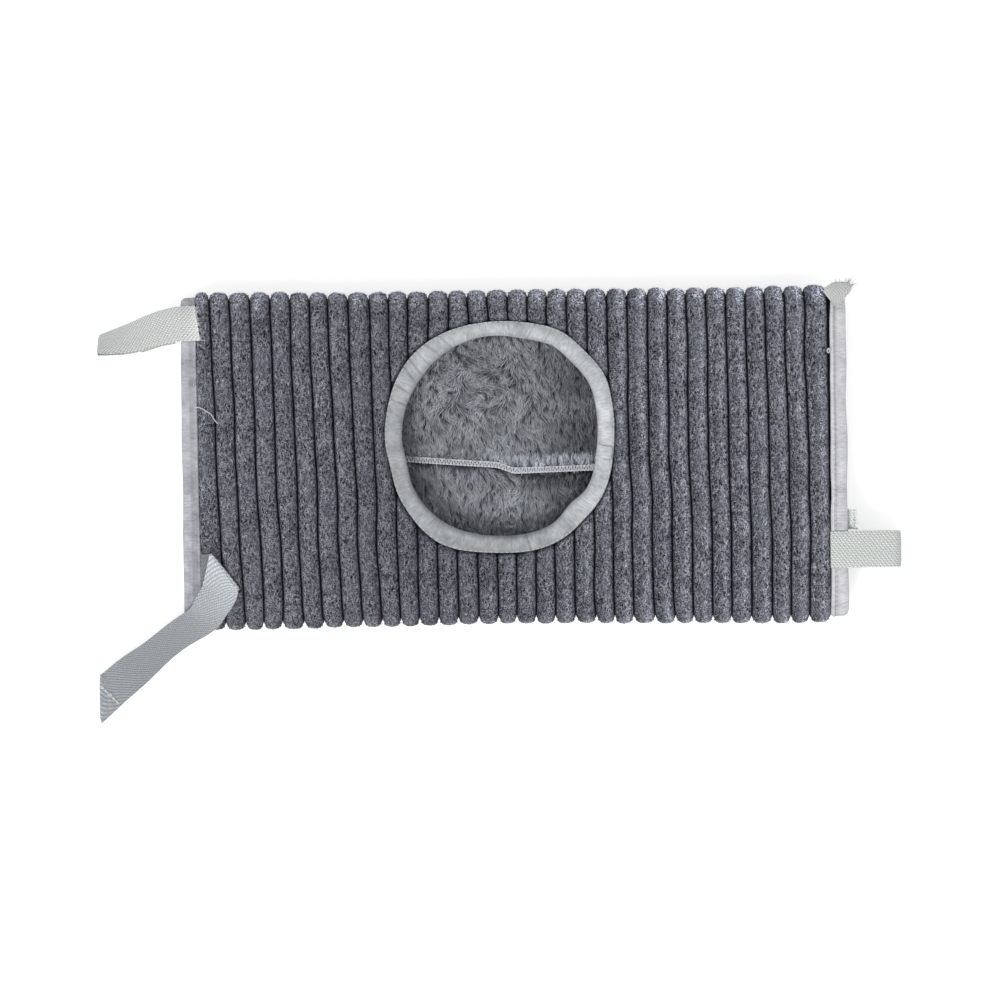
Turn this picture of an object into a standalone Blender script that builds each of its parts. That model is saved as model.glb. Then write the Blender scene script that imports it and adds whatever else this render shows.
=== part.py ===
# Small pet hammock: a ribbed plush tunnel, laid flat, with a bound round entrance in its upper side,
# bound mouths at both ends and a webbing strap at each corner. Metres, +Z up, standing on z = 0.
import math

import bmesh
import bpy
from mathutils import Matrix, Vector

# the tunnel
tunnel_length = 0.3644
tunnel_width = 0.186
tunnel_height = 0.036
tunnel_middle_x = 0.00962
tunnel_middle_y = 0.02416
mouth_lift = 0.004
mouth_drop = 0.002
mouth_slope_length = 0.06
slope_place_shares = (0.3, 0.5, 0.75, 1.0)

# the walls: a ribbed outer plush and a plush lining
shell_thickness = 0.0072
lining_thickness = 0.0032
rib_pitch = 0.01086
first_groove_from_mouth = 0.0176
groove_depth = 0.003
bound_edge_depth = 0.0046
lining_edge_depth = 0.0014
floor_flat_depth = 0.0005
rib_rise_length = 0.0008
rib_shoulder_share = 0.17
left_lean_share = 0.038
right_lean_share = 0.0055

# the tape that binds the entrance and the mouths
tape_thickness = 0.001
tape_round = 0.0007
mouth_tape_width = 0.0077
hole_tape_width = 0.0086
hole_radius = 0.0550
hole_stretch_share = 1.005
hole_square_share = 0.032
hole_from_middle_x = -0.0077
hole_from_middle_y = 0.0113
hole_rib_slope = 0.005
tape_lap_length = 0.011
tape_lap_angle = math.radians(-8.0)

# the stitch lines and the seam
stitch_width = 0.0008
stitch_height = 0.00035
stitch_from_tape_edge = 0.0011
seam_width = 0.0034
seam_height = 0.0013
seam_from_middle_y = -0.0006
seam_lean_share = -0.045
overlock_width = 0.0016
overlock_gap = 0.0006
overlock_height = 0.0005

# the webbing of the straps
webbing_width = 0.02
webbing_thickness = 0.0012
strap_length = 0.13
fold_pitch = 0.0018
fold_step_back = 0.004
root_margin = 0.0003
root_lift = 0.00095

# top left strap: leaves the mouth level and twists onto its edge
top_left_from_side = 0.0169
top_left_reach = 0.0457
top_left_end_tilt = math.radians(58.5)
top_left_end_slant = 0.005
# its route, as shares of the reach outward, the reach aside, the drop and the twist
top_left_route_shares = (
    (0.0, 0.0, 0.0, 0.0),
    (0.28, 0.050, 0.20, 0.30),
    (0.62, 0.155, 0.60, 0.56),
    (1.0, 0.226, 1.0, 1.0),
)

# top right strap: wraps down over the side and lies beneath the tunnel
top_right_overhang = 0.0052
top_right_shift = 0.0075
top_right_root_turn = math.radians(17.5)
top_right_hinge_turn = math.radians(45.0)
top_right_leave_turn = math.radians(172.0)
top_right_landing = 0.024
top_right_slack = 0.0011

# bottom left strap: folded back over itself at a slanting crease, then down off the corner
crease_from_side = 0.0318
crease_from_mouth = 0.01938
crease_run = 0.0154
bottom_left_root_start = 0.0092
bottom_left_reach_x = 0.0688
bottom_left_reach_y = 0.0688
tuck_corner_share = 0.06
# its route, as shares of the reach in x, the reach in y and the drop, then the tilt in degrees
bottom_left_route_shares = (
    (0.0, 0.0, 0.0, 0.0),
    (0.030, 0.145, 0.0, -4.0),
    (0.100, 0.266, 0.01, -15.0),
    (0.175, 0.370, 0.13, -27.0),
    (0.380, 0.502, 0.38, -36.0),
    (0.585, 0.656, 0.64, -34.0),
    (0.850, 0.868, 1.0, 0.0),
    (1.0, 1.0, 1.0, 0.0),
)

# bottom right strap: straight out and down in a loose zigzag
bottom_right_from_side = 0.0400
bottom_right_reach = 0.0288
bottom_right_sag = 0.0012

# the webbing end that pokes out of the right mouth, and the cross stitch near an end
tail_from_side = 0.0562
tail_width = 0.0112
tail_reach = 0.0038
tail_root = 0.0056
hem_left_share = 0.27
hem_right_share = 0.235
hem_stop_share = 0.82
hem_lift = 0.0006

# clearances
gap = 0.0003
ply_gap = 0.00035
overrun = 0.002

# counts
flat_steps = 4
arc_steps = 8
hole_steps = 64
bend_steps = 6
route_steps = 4

# worked out from the sizes above
side_radius = tunnel_height / 2
flat_half = tunnel_width / 2 - side_radius
left_end_x = tunnel_middle_x - tunnel_length / 2
lining_outer = shell_thickness + ply_gap
wall_inner = lining_outer + lining_thickness
tape_outer = bound_edge_depth - gap - tape_thickness
wall_start = tape_thickness + gap
edge_zone = mouth_tape_width + gap
hole_x = tunnel_middle_x + hole_from_middle_x
hole_y = tunnel_middle_y + hole_from_middle_y
webbing_half = webbing_thickness / 2
crest_top = tunnel_height - floor_flat_depth

colours = {
    "plush_blue_grey": ((0.105, 0.110, 0.135), 0.95),
    "lining_grey": ((0.170, 0.180, 0.205), 0.95),
    "tape_lilac_grey": ((0.520, 0.525, 0.560), 0.7),
    "thread_white": ((0.800, 0.810, 0.820), 0.6),
    "webbing_pale": ((0.600, 0.630, 0.620), 0.65),
}


def clear_scene():
    for old in list(bpy.data.objects):
        bpy.data.objects.remove(old, do_unlink=True)


def material(name):
    found = bpy.data.materials.get(name)
    if found:
        return found
    colour, roughness = colours[name]
    made = bpy.data.materials.new(name)
    made.use_nodes = True
    shader = made.node_tree.nodes["Principled BSDF"]
    shader.inputs["Base Color"].default_value = (*colour, 1.0)
    shader.inputs["Roughness"].default_value = roughness
    shader.inputs["Metallic"].default_value = 0.0
    return made


def add_mesh(name, points, faces, material_name, smooth=True):
    mesh = bpy.data.meshes.new(name)
    mesh.from_pydata([tuple(point) for point in points], [], faces)
    work = bmesh.new()
    work.from_mesh(mesh)
    bmesh.ops.recalc_face_normals(work, faces=work.faces)
    work.to_mesh(mesh)
    work.free()
    made = bpy.data.objects.new(name, mesh)
    bpy.context.scene.collection.objects.link(made)
    mesh.materials.append(material(material_name))
    if smooth:
        mesh.shade_smooth()
        mesh.set_sharp_from_angle(angle=math.radians(40.0))
    return made


def loop_faces(rows, columns, closed):
    """Quads of a grid whose rows are rings of equal length, closed on itself or capped at its ends."""
    faces = []
    spans = rows if closed else rows - 1
    for row in range(spans):
        below = row * columns
        above = ((row + 1) % rows) * columns
        for column in range(columns):
            following = (column + 1) % columns
            faces.append((below + column, below + following, above + following, above + column))
    if not closed:
        faces.append(tuple(range(columns - 1, -1, -1)))
        faces.append(tuple(range((rows - 1) * columns, rows * columns)))
    return faces


# Shape of the tunnel

def smooth_share(value):
    held = min(max(value, 0.0), 1.0)
    return held * held * (3.0 - 2.0 * held)


def mouth_nearness(u):
    """1 at either mouth, falling to 0 where the slope ends."""
    from_mouth = min(u, tunnel_length - u)
    return smooth_share(1.0 - from_mouth / mouth_slope_length)


def lean_share(u):
    """How far the ribs lean across the tunnel: none at the bindings, most beside the left one."""
    along = u / tunnel_length
    lean = left_lean_share + (right_lean_share - left_lean_share) * along
    inside = min(u - edge_zone, tunnel_length - edge_zone - u)
    return lean * smooth_share(inside / rib_pitch)


def tunnel_point(u, y, z):
    """World point for a place u along the tunnel, y from its middle line and z above its lowest crest."""
    near = mouth_nearness(u)
    squeeze = 1.0 - near * (mouth_lift + mouth_drop) / tunnel_height
    x = left_end_x + u - lean_share(u) * y
    return Vector((x, tunnel_middle_y + y, near * mouth_lift + z * squeeze - floor_flat_depth))


def outline(inset):
    """The section's outline, inset from the rib crests: two flats joined by two half rounds."""
    radius = side_radius - inset
    points = []
    for side in (1.0, -1.0):
        for step in range(flat_steps):
            share = step / flat_steps
            points.append((side * flat_half * (2.0 * share - 1.0), side_radius + side * radius))
        for step in range(arc_steps):
            turn = math.pi * step / arc_steps
            across = side * (flat_half + radius * math.sin(turn))
            points.append((across, side_radius + side * radius * math.cos(turn)))
    return points


def section_ring(u, inset):
    return [tunnel_point(u, y, z) for y, z in outline(inset)]


def arc_place(inset, distance):
    """Place (y, z) on the upper outline, a distance past the end of its flat towards the side."""
    radius = side_radius - inset
    if distance <= 0.0:
        return flat_half + distance, side_radius + radius
    turn = distance / radius
    return flat_half + radius * math.sin(turn), side_radius + radius * math.cos(turn)


# The two cloths

def inner_stations():
    near_mouth = [wall_start, edge_zone, edge_zone + rib_rise_length]
    slope = [mouth_slope_length * share for share in slope_place_shares]
    left = near_mouth + slope
    right = [tunnel_length - u for u in reversed(left)]
    return left + [tunnel_length / 2] + right


def shell_columns():
    """Stations along the shell's outer face, each with its inset: grooves, shoulders and rounded crests."""
    columns = [(wall_start, bound_edge_depth), (edge_zone, bound_edge_depth)]
    start = edge_zone
    groove = first_groove_from_mouth
    last = tunnel_length - edge_zone
    edge_level = floor_flat_depth
    while True:
        end = min(groove, last)
        span = end - start
        rise = start + rib_rise_length if start == edge_zone else start
        if start != edge_zone:
            columns.append((start, groove_depth))
        if span > rib_pitch / 2:
            columns.append((max(start + rib_shoulder_share * span, rise), edge_level))
            columns.append((start + span / 2, 0.0))
            columns.append((end - rib_shoulder_share * span, edge_level))
        else:
            columns.append((start + span / 2, edge_level))
        if end == last:
            break
        start = end
        groove = groove + rib_pitch
    columns.append((last, bound_edge_depth))
    columns.append((tunnel_length - wall_start, bound_edge_depth))
    return columns


def tube_between(name, outer, inner, material_name, floor_cut):
    """A tube wall whose outer and inner faces each follow their own list of (station, inset)."""
    rings = []
    for u, inset in outer:
        ring = section_ring(u, inset)
        if floor_cut:
            ring = [Vector((point.x, point.y, max(point.z, 0.0))) for point in ring]
        rings.append(ring)
    for u, inset in reversed(inner):
        rings.append(section_ring(u, inset))
    columns = len(rings[0])
    points = [point for ring in rings for point in ring]
    return add_mesh(name, points, loop_faces(len(rings), columns, True), material_name)


def hole_point(radius, turn, z):
    """Point at a turn about the entrance, whose edge is slightly squarish and stretched across the tunnel."""
    reach = radius + hole_radius * hole_square_share * (1.0 - math.cos(4.0 * turn)) / 2
    return (hole_x + reach * math.cos(turn), hole_y + reach * hole_stretch_share * math.sin(turn), z)


def turned_solid(name, profile, material_name):
    """A closed profile of (radius, z) carried round the entrance's edge."""
    points = []
    for step in range(hole_steps):
        turn = 2.0 * math.pi * step / hole_steps
        points.extend(hole_point(radius, turn, z) for radius, z in profile)
    return add_mesh(name, points, loop_faces(hole_steps, len(profile), True), material_name)


def turned_cutter(name, profile):
    """A plug from (radius, z) pairs that run from its lower face up to its upper one."""
    turns = [2.0 * math.pi * step / hole_steps for step in range(hole_steps)]
    points = [hole_point(radius, turn, z) for radius, z in profile for turn in turns]
    made = add_mesh(name, points, loop_faces(len(profile), hole_steps, False), "plush_blue_grey", False)
    made.hide_render = True
    made.display_type = "WIRE"
    return made


def cut(target, cutter):
    step = target.modifiers.new("entrance", "BOOLEAN")
    step.operation = "DIFFERENCE"
    step.solver = "EXACT"
    step.object = cutter


def build_shell():
    inner = [(u, shell_thickness) for u in inner_stations()]
    shell = tube_between("ribbed_shell", shell_columns(), inner, "plush_blue_grey", True)
    edge = hole_radius + tape_thickness + gap
    recess = hole_radius + hole_tape_width + gap
    top = crest_top
    profile = [
        (edge, side_radius),
        (edge, top - bound_edge_depth),
        (recess, top - bound_edge_depth),
        (recess + hole_rib_slope, top + gap),
        (recess + hole_rib_slope, top + overrun),
    ]
    cut(shell, turned_cutter("shell_entrance_cutter", profile))


def build_lining():
    stations = inner_stations()
    outer = [(u, lining_outer) for u in stations]
    inner = []
    for u in stations:
        at_edge = u <= edge_zone or u >= tunnel_length - edge_zone
        inner.append((u, wall_inner - lining_edge_depth if at_edge else wall_inner))
    lining = tube_between("plush_lining", outer, inner, "lining_grey", False)
    edge = hole_radius + tape_thickness + gap
    recess = hole_radius + hole_tape_width + gap
    profile = [
        (recess, side_radius),
        (recess, crest_top - wall_inner + lining_edge_depth),
        (edge, crest_top - wall_inner + lining_edge_depth),
        (edge, crest_top + overrun),
    ]
    cut(lining, turned_cutter("lining_entrance_cutter", profile))


# The bindings and their stitching

def tape_profile(width, outer_level, inner_level):
    """A folded tape in section, as (distance from the bound edge, depth), with a rounded fold."""
    fold = tape_round
    bend = 2.0 * tape_round
    return [
        (width, outer_level),
        (bend, outer_level),
        (fold / 2, outer_level + fold / 2),
        (0.0, outer_level + bend),
        (0.0, inner_level - bend),
        (fold / 2, inner_level - fold / 2),
        (bend, inner_level),
        (width, inner_level),
        (width, inner_level - tape_thickness),
        (tape_thickness, inner_level - tape_thickness),
        (tape_thickness, outer_level + tape_thickness),
        (width, outer_level + tape_thickness),
    ]


def swept_section(name, profile, from_right, material_name):
    """A closed profile of (distance from the mouth, inset) carried round the tunnel's section."""
    rings = []
    for distance, inset in profile:
        u = tunnel_length - distance if from_right else distance
        rings.append(section_ring(u, inset))
    columns = len(rings[0])
    points = [point for ring in rings for point in ring]
    return add_mesh(name, points, loop_faces(len(rings), columns, True), material_name)


def stitch_profile(distance, level):
    """A thread line in section, laid on a surface at this level with a gap below it."""
    low = level - gap
    return [
        (distance, low),
        (distance + stitch_width, low),
        (distance + stitch_width, low - stitch_height),
        (distance, low - stitch_height),
    ]


def build_mouth(side_name, from_right):
    profile = tape_profile(mouth_tape_width, tape_outer, wall_inner)
    swept_section(side_name + "_end_binding", profile, from_right, "tape_lilac_grey")
    distance = mouth_tape_width - stitch_from_tape_edge - stitch_width
    profile = stitch_profile(distance, tape_outer)
    swept_section(side_name + "_end_stitching", profile, from_right, "thread_white")


def build_entrance():
    profile = []
    for distance, depth in tape_profile(hole_tape_width, tape_outer, wall_inner):
        profile.append((hole_radius + distance, crest_top - depth))
    turned_solid("hole_binding", profile, "tape_lilac_grey")
    distance = hole_tape_width - stitch_from_tape_edge - stitch_width
    profile = []
    for radius, depth in stitch_profile(hole_radius + distance, tape_outer):
        profile.append((radius, crest_top - depth))
    turned_solid("hole_stitching", profile, "thread_white")


def build_tape_lap():
    """The lapped end of the entrance's tape: a short sector that lies on the tape, inside its stitching."""
    inner = hole_radius + 2.0 * tape_round
    outer = hole_radius + hole_tape_width - stitch_from_tape_edge - stitch_width - gap
    low = crest_top - tape_outer + gap
    high = low + stitch_height
    half_turn = tape_lap_length / hole_radius / 2
    points = []
    for step in range(route_steps + 1):
        turn = tape_lap_angle + half_turn * (2.0 * step / route_steps - 1.0)
        for radius, z in ((inner, low), (outer, low), (outer, high), (inner, high)):
            points.append(hole_point(radius, turn, z))
    add_mesh("hole_binding_join", points, loop_faces(route_steps + 1, 4, False), "tape_lilac_grey")


def seam_middle(u):
    return seam_from_middle_y + seam_lean_share * (u - tunnel_length / 2)


def strip_on_floor(name, from_middle, width, height, level, material_name):
    """A rounded strip along the inside of the lower panel, from one mouth's tape to the other's."""
    half = width / 2
    section = [(-half, 0.0), (half, 0.0), (half, height / 2), (half / 2, height), (-half / 2, height),
               (-half, height / 2)]
    points = []
    stations = [u for u in inner_stations() if edge_zone < u < tunnel_length - edge_zone]
    for u in stations:
        for y, z in section:
            points.append(tunnel_point(u, seam_middle(u) + from_middle + y, level + z))
    add_mesh(name, points, loop_faces(len(stations), len(section), False), material_name)


def build_seam():
    level = wall_inner + gap
    strip_on_floor("wall_seam", 0.0, seam_width, seam_height, level, "lining_grey")
    aside = -(seam_width + overlock_width) / 2 - overlock_gap
    strip_on_floor("overlock_thread", aside, overlock_width, overlock_height, level, "thread_white")


# The straps

def webbing(name, edges, material_name="webbing_pale", thickness=webbing_thickness):
    """Webbing of even thickness through pairs of edge points, the first and last being its ends."""
    middles = [(a + b) / 2 for a, b in edges]
    points = []
    for index, (a, b) in enumerate(edges):
        before = middles[max(index - 1, 0)]
        after = middles[min(index + 1, len(edges) - 1)]
        normal = (b - a).cross(after - before).normalized() * (thickness / 2)
        points.extend([a + normal, b + normal, b - normal, a - normal])
    return add_mesh(name, points, loop_faces(len(edges), 4, False), material_name)


def set_pivot(piece, pivot):
    """Moves the object's origin to its hinge without moving the solid."""
    piece.data.transform(Matrix.Translation(-pivot))
    piece.location = pivot


def outline_patch(name, start, width, stations, middle):
    """Webbing laid on the upper outline between two stations, from a distance past the flat.
    Returns its corners at the second station."""
    points = []
    for step in range(arc_steps + 1):
        distance = start + width * step / arc_steps
        for u, inset in zip((stations[1], stations[0], stations[0], stations[1]),
                            (middle + webbing_half, middle + webbing_half,
                             middle - webbing_half, middle - webbing_half)):
            points.append(tunnel_point(u, *arc_place(inset, distance)))
    add_mesh(name, points, loop_faces(arc_steps + 1, 4, False), "webbing_pale")
    near = tunnel_point(stations[1], *arc_place(middle, start))
    far = tunnel_point(stations[1], *arc_place(middle, start + width))
    return near, far


def interpolate(rows, share):
    """Smooth value between rows of equal length, evenly spaced, at a share from 0 to 1."""
    place = share * (len(rows) - 1)
    index = min(int(place), len(rows) - 2)
    part = place - index
    before = rows[max(index - 1, 0)]
    beyond = rows[min(index + 2, len(rows) - 1)]
    values = []
    for p0, p1, p2, p3 in zip(before, rows[index], rows[index + 1], beyond):
        first = p2 - p0
        second = 2.0 * p0 - 5.0 * p1 + 4.0 * p2 - p3
        third = 3.0 * p1 - p0 - 3.0 * p2 + p3
        values.append(p1 + part * (first + part * (second + part * third)) / 2.0)
    return values


def smooth_route(rows):
    """Samples along rows of (x, y, z, tilt), each with its heading."""
    count = route_steps * (len(rows) - 1)
    samples = [interpolate(rows, step / count) for step in range(count + 1)]
    places = [Vector(sample[:3]) for sample in samples]
    route = []
    for index, place in enumerate(places):
        before = places[max(index - 1, 0)]
        after = places[min(index + 1, count)]
        route.append((place, (after - before).normalized(), samples[index][3]))
    return route


def cross_edges(middle, heading, tilt):
    """The two edge points of webbing at a place, square to its heading and tilted about it."""
    level_side = Vector((-heading.y, heading.x, 0.0)).normalized()
    up_side = heading.cross(level_side).normalized()
    side = (level_side * math.cos(tilt) + up_side * math.sin(tilt)) * (webbing_width / 2)
    return middle - side, middle + side


def under_side(a, b, heading):
    normal = (b - a).cross(heading).normalized()
    return -normal if normal.z > 0 else normal


def folded_edges(frames, total):
    """Edge pairs of webbing that shows along the frames and lies in further runs beneath itself."""
    lengths = [0.0]
    for (a, b, heading), (c, d, following) in zip(frames, frames[1:]):
        lengths.append(lengths[-1] + ((c + d) / 2 - (a + b) / 2).length)
    last = len(frames) - 1
    nearest = next(index for index, length in enumerate(lengths) if length > fold_step_back)
    edges = [(a, b) for a, b, heading in frames]
    left = total - lengths[last]
    at = last
    fold = 0
    while left > fold_step_back:
        a, b, heading = frames[at]
        down = under_side(a, b, heading)
        outward = heading if at == last else -heading
        for step in range(1, bend_steps):
            turn = math.pi * step / bend_steps
            shift = down * (fold_pitch * (fold + (1.0 - math.cos(turn)) / 2))
            shift = shift + outward * (fold_pitch / 2 * math.sin(turn))
            edges.append((a + shift, b + shift))
        fold = fold + 1
        end = nearest if at == last else last
        heading_step = -1 if at == last else 1
        while left > 0.0:
            a, b, heading = frames[at]
            down = under_side(a, b, heading) * (fold_pitch * fold)
            edges.append((a + down, b + down))
            if at == end:
                break
            left = left - abs(lengths[at + heading_step] - lengths[at])
            at = at + heading_step
    return edges


def build_top_left():
    low_y = tunnel_width / 2 - top_left_from_side - webbing_width / 2
    middle = tape_outer - root_lift - webbing_half
    near, far = outline_patch("strap_root_top_left", low_y - flat_half, webbing_width,
                              (mouth_tape_width, root_margin), middle)
    start = (near + far) / 2 - Vector((2.0 * root_margin, 0.0, 0.0))
    first_tilt = math.asin((near.z - far.z) / (near - far).length)
    end_height = webbing_width / 2 * math.sin(top_left_end_tilt) + fold_pitch + gap
    rows = []
    for out_share, side_share, drop_share, tilt_share in top_left_route_shares:
        rows.append((start.x - top_left_reach * out_share, start.y - top_left_reach * side_share,
                     start.z - (start.z - end_height) * drop_share,
                     first_tilt + (top_left_end_tilt - first_tilt) * tilt_share))
    route = smooth_route(rows)
    frames = []
    for index, (place, heading, tilt) in enumerate(route):
        a, b = cross_edges(place, heading, tilt)
        slant = heading * (top_left_end_slant / 2 * (index / (len(route) - 1)) ** 2)
        frames.append((a + slant, b - slant, heading))
    inward = Vector((start.x - near.x, 0.0, 0.0))
    frames[0] = (far + inward, near + inward, frames[0][2])
    strap = webbing("strap_top_left", folded_edges(frames, strap_length - mouth_tape_width))
    normal = (near - far).cross(Vector((-1.0, 0.0, 0.0))).normalized() * webbing_half
    set_pivot(strap, (near + far) / 2 + (normal if normal.z > 0 else -normal))


def build_top_right():
    inset = -gap - webbing_half
    radius = side_radius - inset
    stations = (tunnel_length + top_right_overhang - webbing_width, tunnel_length + top_right_overhang)
    start = radius * top_right_root_turn
    hinge = radius * top_right_hinge_turn
    outline_patch("strap_root_top_right", start, hinge - start - 2.0 * gap, stations, inset)
    edges = []
    span = top_right_leave_turn - top_right_hinge_turn
    steps = 3 * route_steps
    for step in range(steps + 1):
        turn = top_right_hinge_turn + span * step / steps
        shift = top_right_shift * smooth_share(step / steps)
        slack = top_right_slack * math.sin(math.pi * step / steps)
        place = arc_place(inset - slack, (radius + slack) * turn)
        edges.append(tuple(tunnel_point(u - shift, *place) for u in stations))
    a, b = edges[-1]
    shown = sum(((c + d) / 2 - (e + f) / 2).length for (c, d), (e, f) in zip(edges, edges[1:]))
    run = strap_length - (hinge - start) - shown
    floor = webbing_half + gap
    for step in range(1, 2 * steps + 1):
        back = run * step / (2 * steps)
        settle = smooth_share(back / top_right_landing)
        edges.append(tuple(Vector((p.x, p.y - back, p.z + (floor - p.z) * settle)) for p in (a, b)))
    strap = webbing("strap_top_right", edges)
    outer = [tunnel_point(u, *arc_place(inset - webbing_half, hinge)) for u in stations]
    set_pivot(strap, (outer[0] + outer[1]) / 2)


def crease_points():
    """Upper left and lower right ends of the bottom left strap's crease, on the crests."""
    middle_u = crease_from_mouth
    middle_y = -tunnel_width / 2 + crease_from_side
    level = tunnel_height + gap + webbing_half
    upper = tunnel_point(middle_u, middle_y, level) + Vector((-crease_run / 2, webbing_width / 2, 0.0))
    lower = tunnel_point(middle_u, middle_y, level) + Vector((crease_run / 2, -webbing_width / 2, 0.0))
    lower.z = tunnel_point(middle_u + crease_run / 2, middle_y, level).z
    upper.z = lower.z
    return upper, lower


def build_bottom_left():
    upper, lower = crease_points()
    root_x = left_end_x + bottom_left_root_start
    root_level = tunnel_height + gap + webbing_half
    root_z = tunnel_point(bottom_left_root_start, 0.0, root_level).z
    along = (lower - upper).normalized()
    outward = Vector((-along.y, along.x, 0.0))
    edges = [(Vector((root_x, upper.y, root_z)), Vector((root_x, lower.y, root_z)))]
    for step in range(bend_steps + 1):
        turn = math.pi * step / bend_steps
        rise = Vector((0.0, 0.0, fold_pitch * (1.0 - math.cos(turn)) / 2))
        shift = rise + outward * (fold_pitch / 2 * math.sin(turn))
        edges.append((upper + shift, lower + shift))
    webbing("strap_root_bottom_left", edges)

    lift = Vector((0.0, 0.0, fold_pitch))
    start = (upper + lower) / 2 + lift - outward * gap
    end_height = fold_pitch + webbing_half + gap
    rows = []
    for x_share, y_share, drop_share, tilt in bottom_left_route_shares:
        rows.append((start.x - bottom_left_reach_x * x_share, start.y - bottom_left_reach_y * y_share,
                     start.z - (start.z - end_height) * drop_share, math.radians(tilt)))
    route = smooth_route(rows)
    for place, heading, tilt in route:
        place.z = max(place.z, end_height)
    edges = [cross_edges(*sample) for sample in route]
    edges[0] = (upper + lift - outward * gap, lower + lift - outward * gap)
    for step in range(1, route_steps):
        share = step / route_steps
        edges[step] = tuple(p.lerp(q, share) for p, q in zip(edges[0], edges[route_steps]))
    end, heading, tilt = route[-1]
    half_chord = Vector((0.0, webbing_width / 2 / abs(heading.x), 0.0))
    first = end + half_chord
    second = end - half_chord
    del edges[-3:]
    edges.append((first, second))
    bulge = Vector((-fold_pitch / 2, 0.0, 0.0))
    sink = Vector((0.0, 0.0, -fold_pitch))
    for step in range(1, bend_steps + 1):
        turn = math.pi * step / bend_steps
        shift = bulge * math.sin(turn) + sink * ((1.0 - math.cos(turn)) / 2)
        edges.append((first + shift, second + shift))
    corner_run = 2.0 * half_chord.y * abs(heading.y)
    corner = first + sink + Vector((corner_run * abs(heading.x), -corner_run * abs(heading.y), 0.0))
    edges.append((corner, (second + sink).lerp(corner, tuck_corner_share)))
    strap = webbing("strap_bottom_left", edges)
    pivot = (upper + lower) / 2 + lift + Vector((0.0, 0.0, webbing_half))
    set_pivot(strap, pivot)

    before_a, before_b = edges[-bend_steps - 3]
    lift = Vector((0.0, 0.0, webbing_half + hem_lift))
    left = first.lerp(second, hem_left_share) + lift
    right = left.lerp(before_b.lerp(second, hem_right_share) + lift, hem_stop_share)
    side = heading * (stitch_width / 2)
    stitch = webbing("strap_hem_stitching", [(left - side, left + side), (right - side, right + side)],
                     "thread_white", stitch_height)
    set_pivot(stitch, pivot)


def build_bottom_right():
    low_y = -tunnel_width / 2 + bottom_right_from_side - webbing_width / 2
    middle = tape_outer - root_lift - webbing_half
    stations = (tunnel_length - mouth_tape_width, tunnel_length - root_margin)
    near, far = outline_patch("strap_root_bottom_right", low_y - flat_half, webbing_width, stations, middle)
    start = (near + far) / 2 + Vector((2.0 * root_margin, 0.0, 0.0))
    floor = webbing_half + gap
    run_drop = (start.z - bottom_right_sag - floor) / 3
    radius = run_drop / 2
    far_x = start.x + bottom_right_reach - radius
    near_x = start.x + radius + 2.0 * webbing_thickness
    level = start.z - bottom_right_sag
    route = [Vector((start.x + (far_x - start.x) * step / route_steps, start.y,
                     start.z - bottom_right_sag * smooth_share(step / route_steps)))
             for step in range(route_steps + 1)]
    for turn_x, side in ((far_x, 1.0), (near_x, -1.0), (far_x, 1.0)):
        for step in range(bend_steps + 1):
            turn = math.pi * step / bend_steps
            route.append(Vector((turn_x + side * radius * math.sin(turn), start.y,
                                 level - radius * (1.0 - math.cos(turn)))))
        level = level - run_drop
    del route[route_steps + 1]
    shown = sum((after - before).length for before, after in zip(route, route[1:]))
    run = strap_length - mouth_tape_width - shown
    for step in range(1, route_steps + 1):
        route.append(Vector((far_x - run * step / route_steps, start.y, floor)))
    half = Vector((0.0, webbing_width / 2, 0.0))
    strap = webbing("strap_bottom_right", [(place - half, place + half) for place in route])
    set_pivot(strap, (near + far) / 2 + Vector((0.0, 0.0, webbing_half)))


def build_tail():
    """The short webbing end caught in the right mouth, under the upper panel's tape."""
    middle = wall_inner + gap + webbing_half
    low_y = -tunnel_width / 2 + tail_from_side - tail_width / 2
    edges = []
    for u in (tunnel_length - tail_root, tunnel_length, tunnel_length + tail_reach):
        edges.append(tuple(tunnel_point(u, y, tunnel_height - middle) for y in (low_y, low_y + tail_width)))
    webbing("strap_tail_bottom_right", edges)


clear_scene()
build_shell()
build_lining()
build_mouth("left", False)
build_mouth("right", True)
build_entrance()
build_tape_lap()
build_seam()
build_top_left()
build_top_right()
build_bottom_left()
build_bottom_right()
build_tail()
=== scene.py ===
# Small pet hammock: a ribbed plush tunnel laid flat, its plush lining seen through a bound round entrance,
# bound mouths and four webbing straps. Metres, +Z up, seen from straight above.
import math

import bmesh
import bpy
import numpy as np
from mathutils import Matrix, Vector


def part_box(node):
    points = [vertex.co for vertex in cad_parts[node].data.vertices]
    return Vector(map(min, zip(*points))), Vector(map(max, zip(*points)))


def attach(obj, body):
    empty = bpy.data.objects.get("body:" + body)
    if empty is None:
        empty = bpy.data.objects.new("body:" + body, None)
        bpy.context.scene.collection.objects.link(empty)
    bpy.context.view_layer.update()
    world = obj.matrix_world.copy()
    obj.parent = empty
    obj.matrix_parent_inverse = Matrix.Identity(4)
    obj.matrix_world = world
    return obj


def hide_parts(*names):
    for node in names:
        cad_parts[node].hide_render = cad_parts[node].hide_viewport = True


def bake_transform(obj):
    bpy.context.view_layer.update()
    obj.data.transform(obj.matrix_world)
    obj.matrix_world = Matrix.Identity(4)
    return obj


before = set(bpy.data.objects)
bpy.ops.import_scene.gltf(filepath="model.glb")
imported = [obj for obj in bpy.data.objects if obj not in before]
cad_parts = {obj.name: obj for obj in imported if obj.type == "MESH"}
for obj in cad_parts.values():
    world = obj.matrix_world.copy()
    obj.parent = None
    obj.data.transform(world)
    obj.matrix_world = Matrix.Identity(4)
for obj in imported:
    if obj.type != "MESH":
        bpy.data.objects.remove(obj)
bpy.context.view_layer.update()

mm = 0.001
shellLow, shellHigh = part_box("ribbed_shell")
leftLow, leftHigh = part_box("left_end_binding")
rightLow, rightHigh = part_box("right_end_binding")
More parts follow.
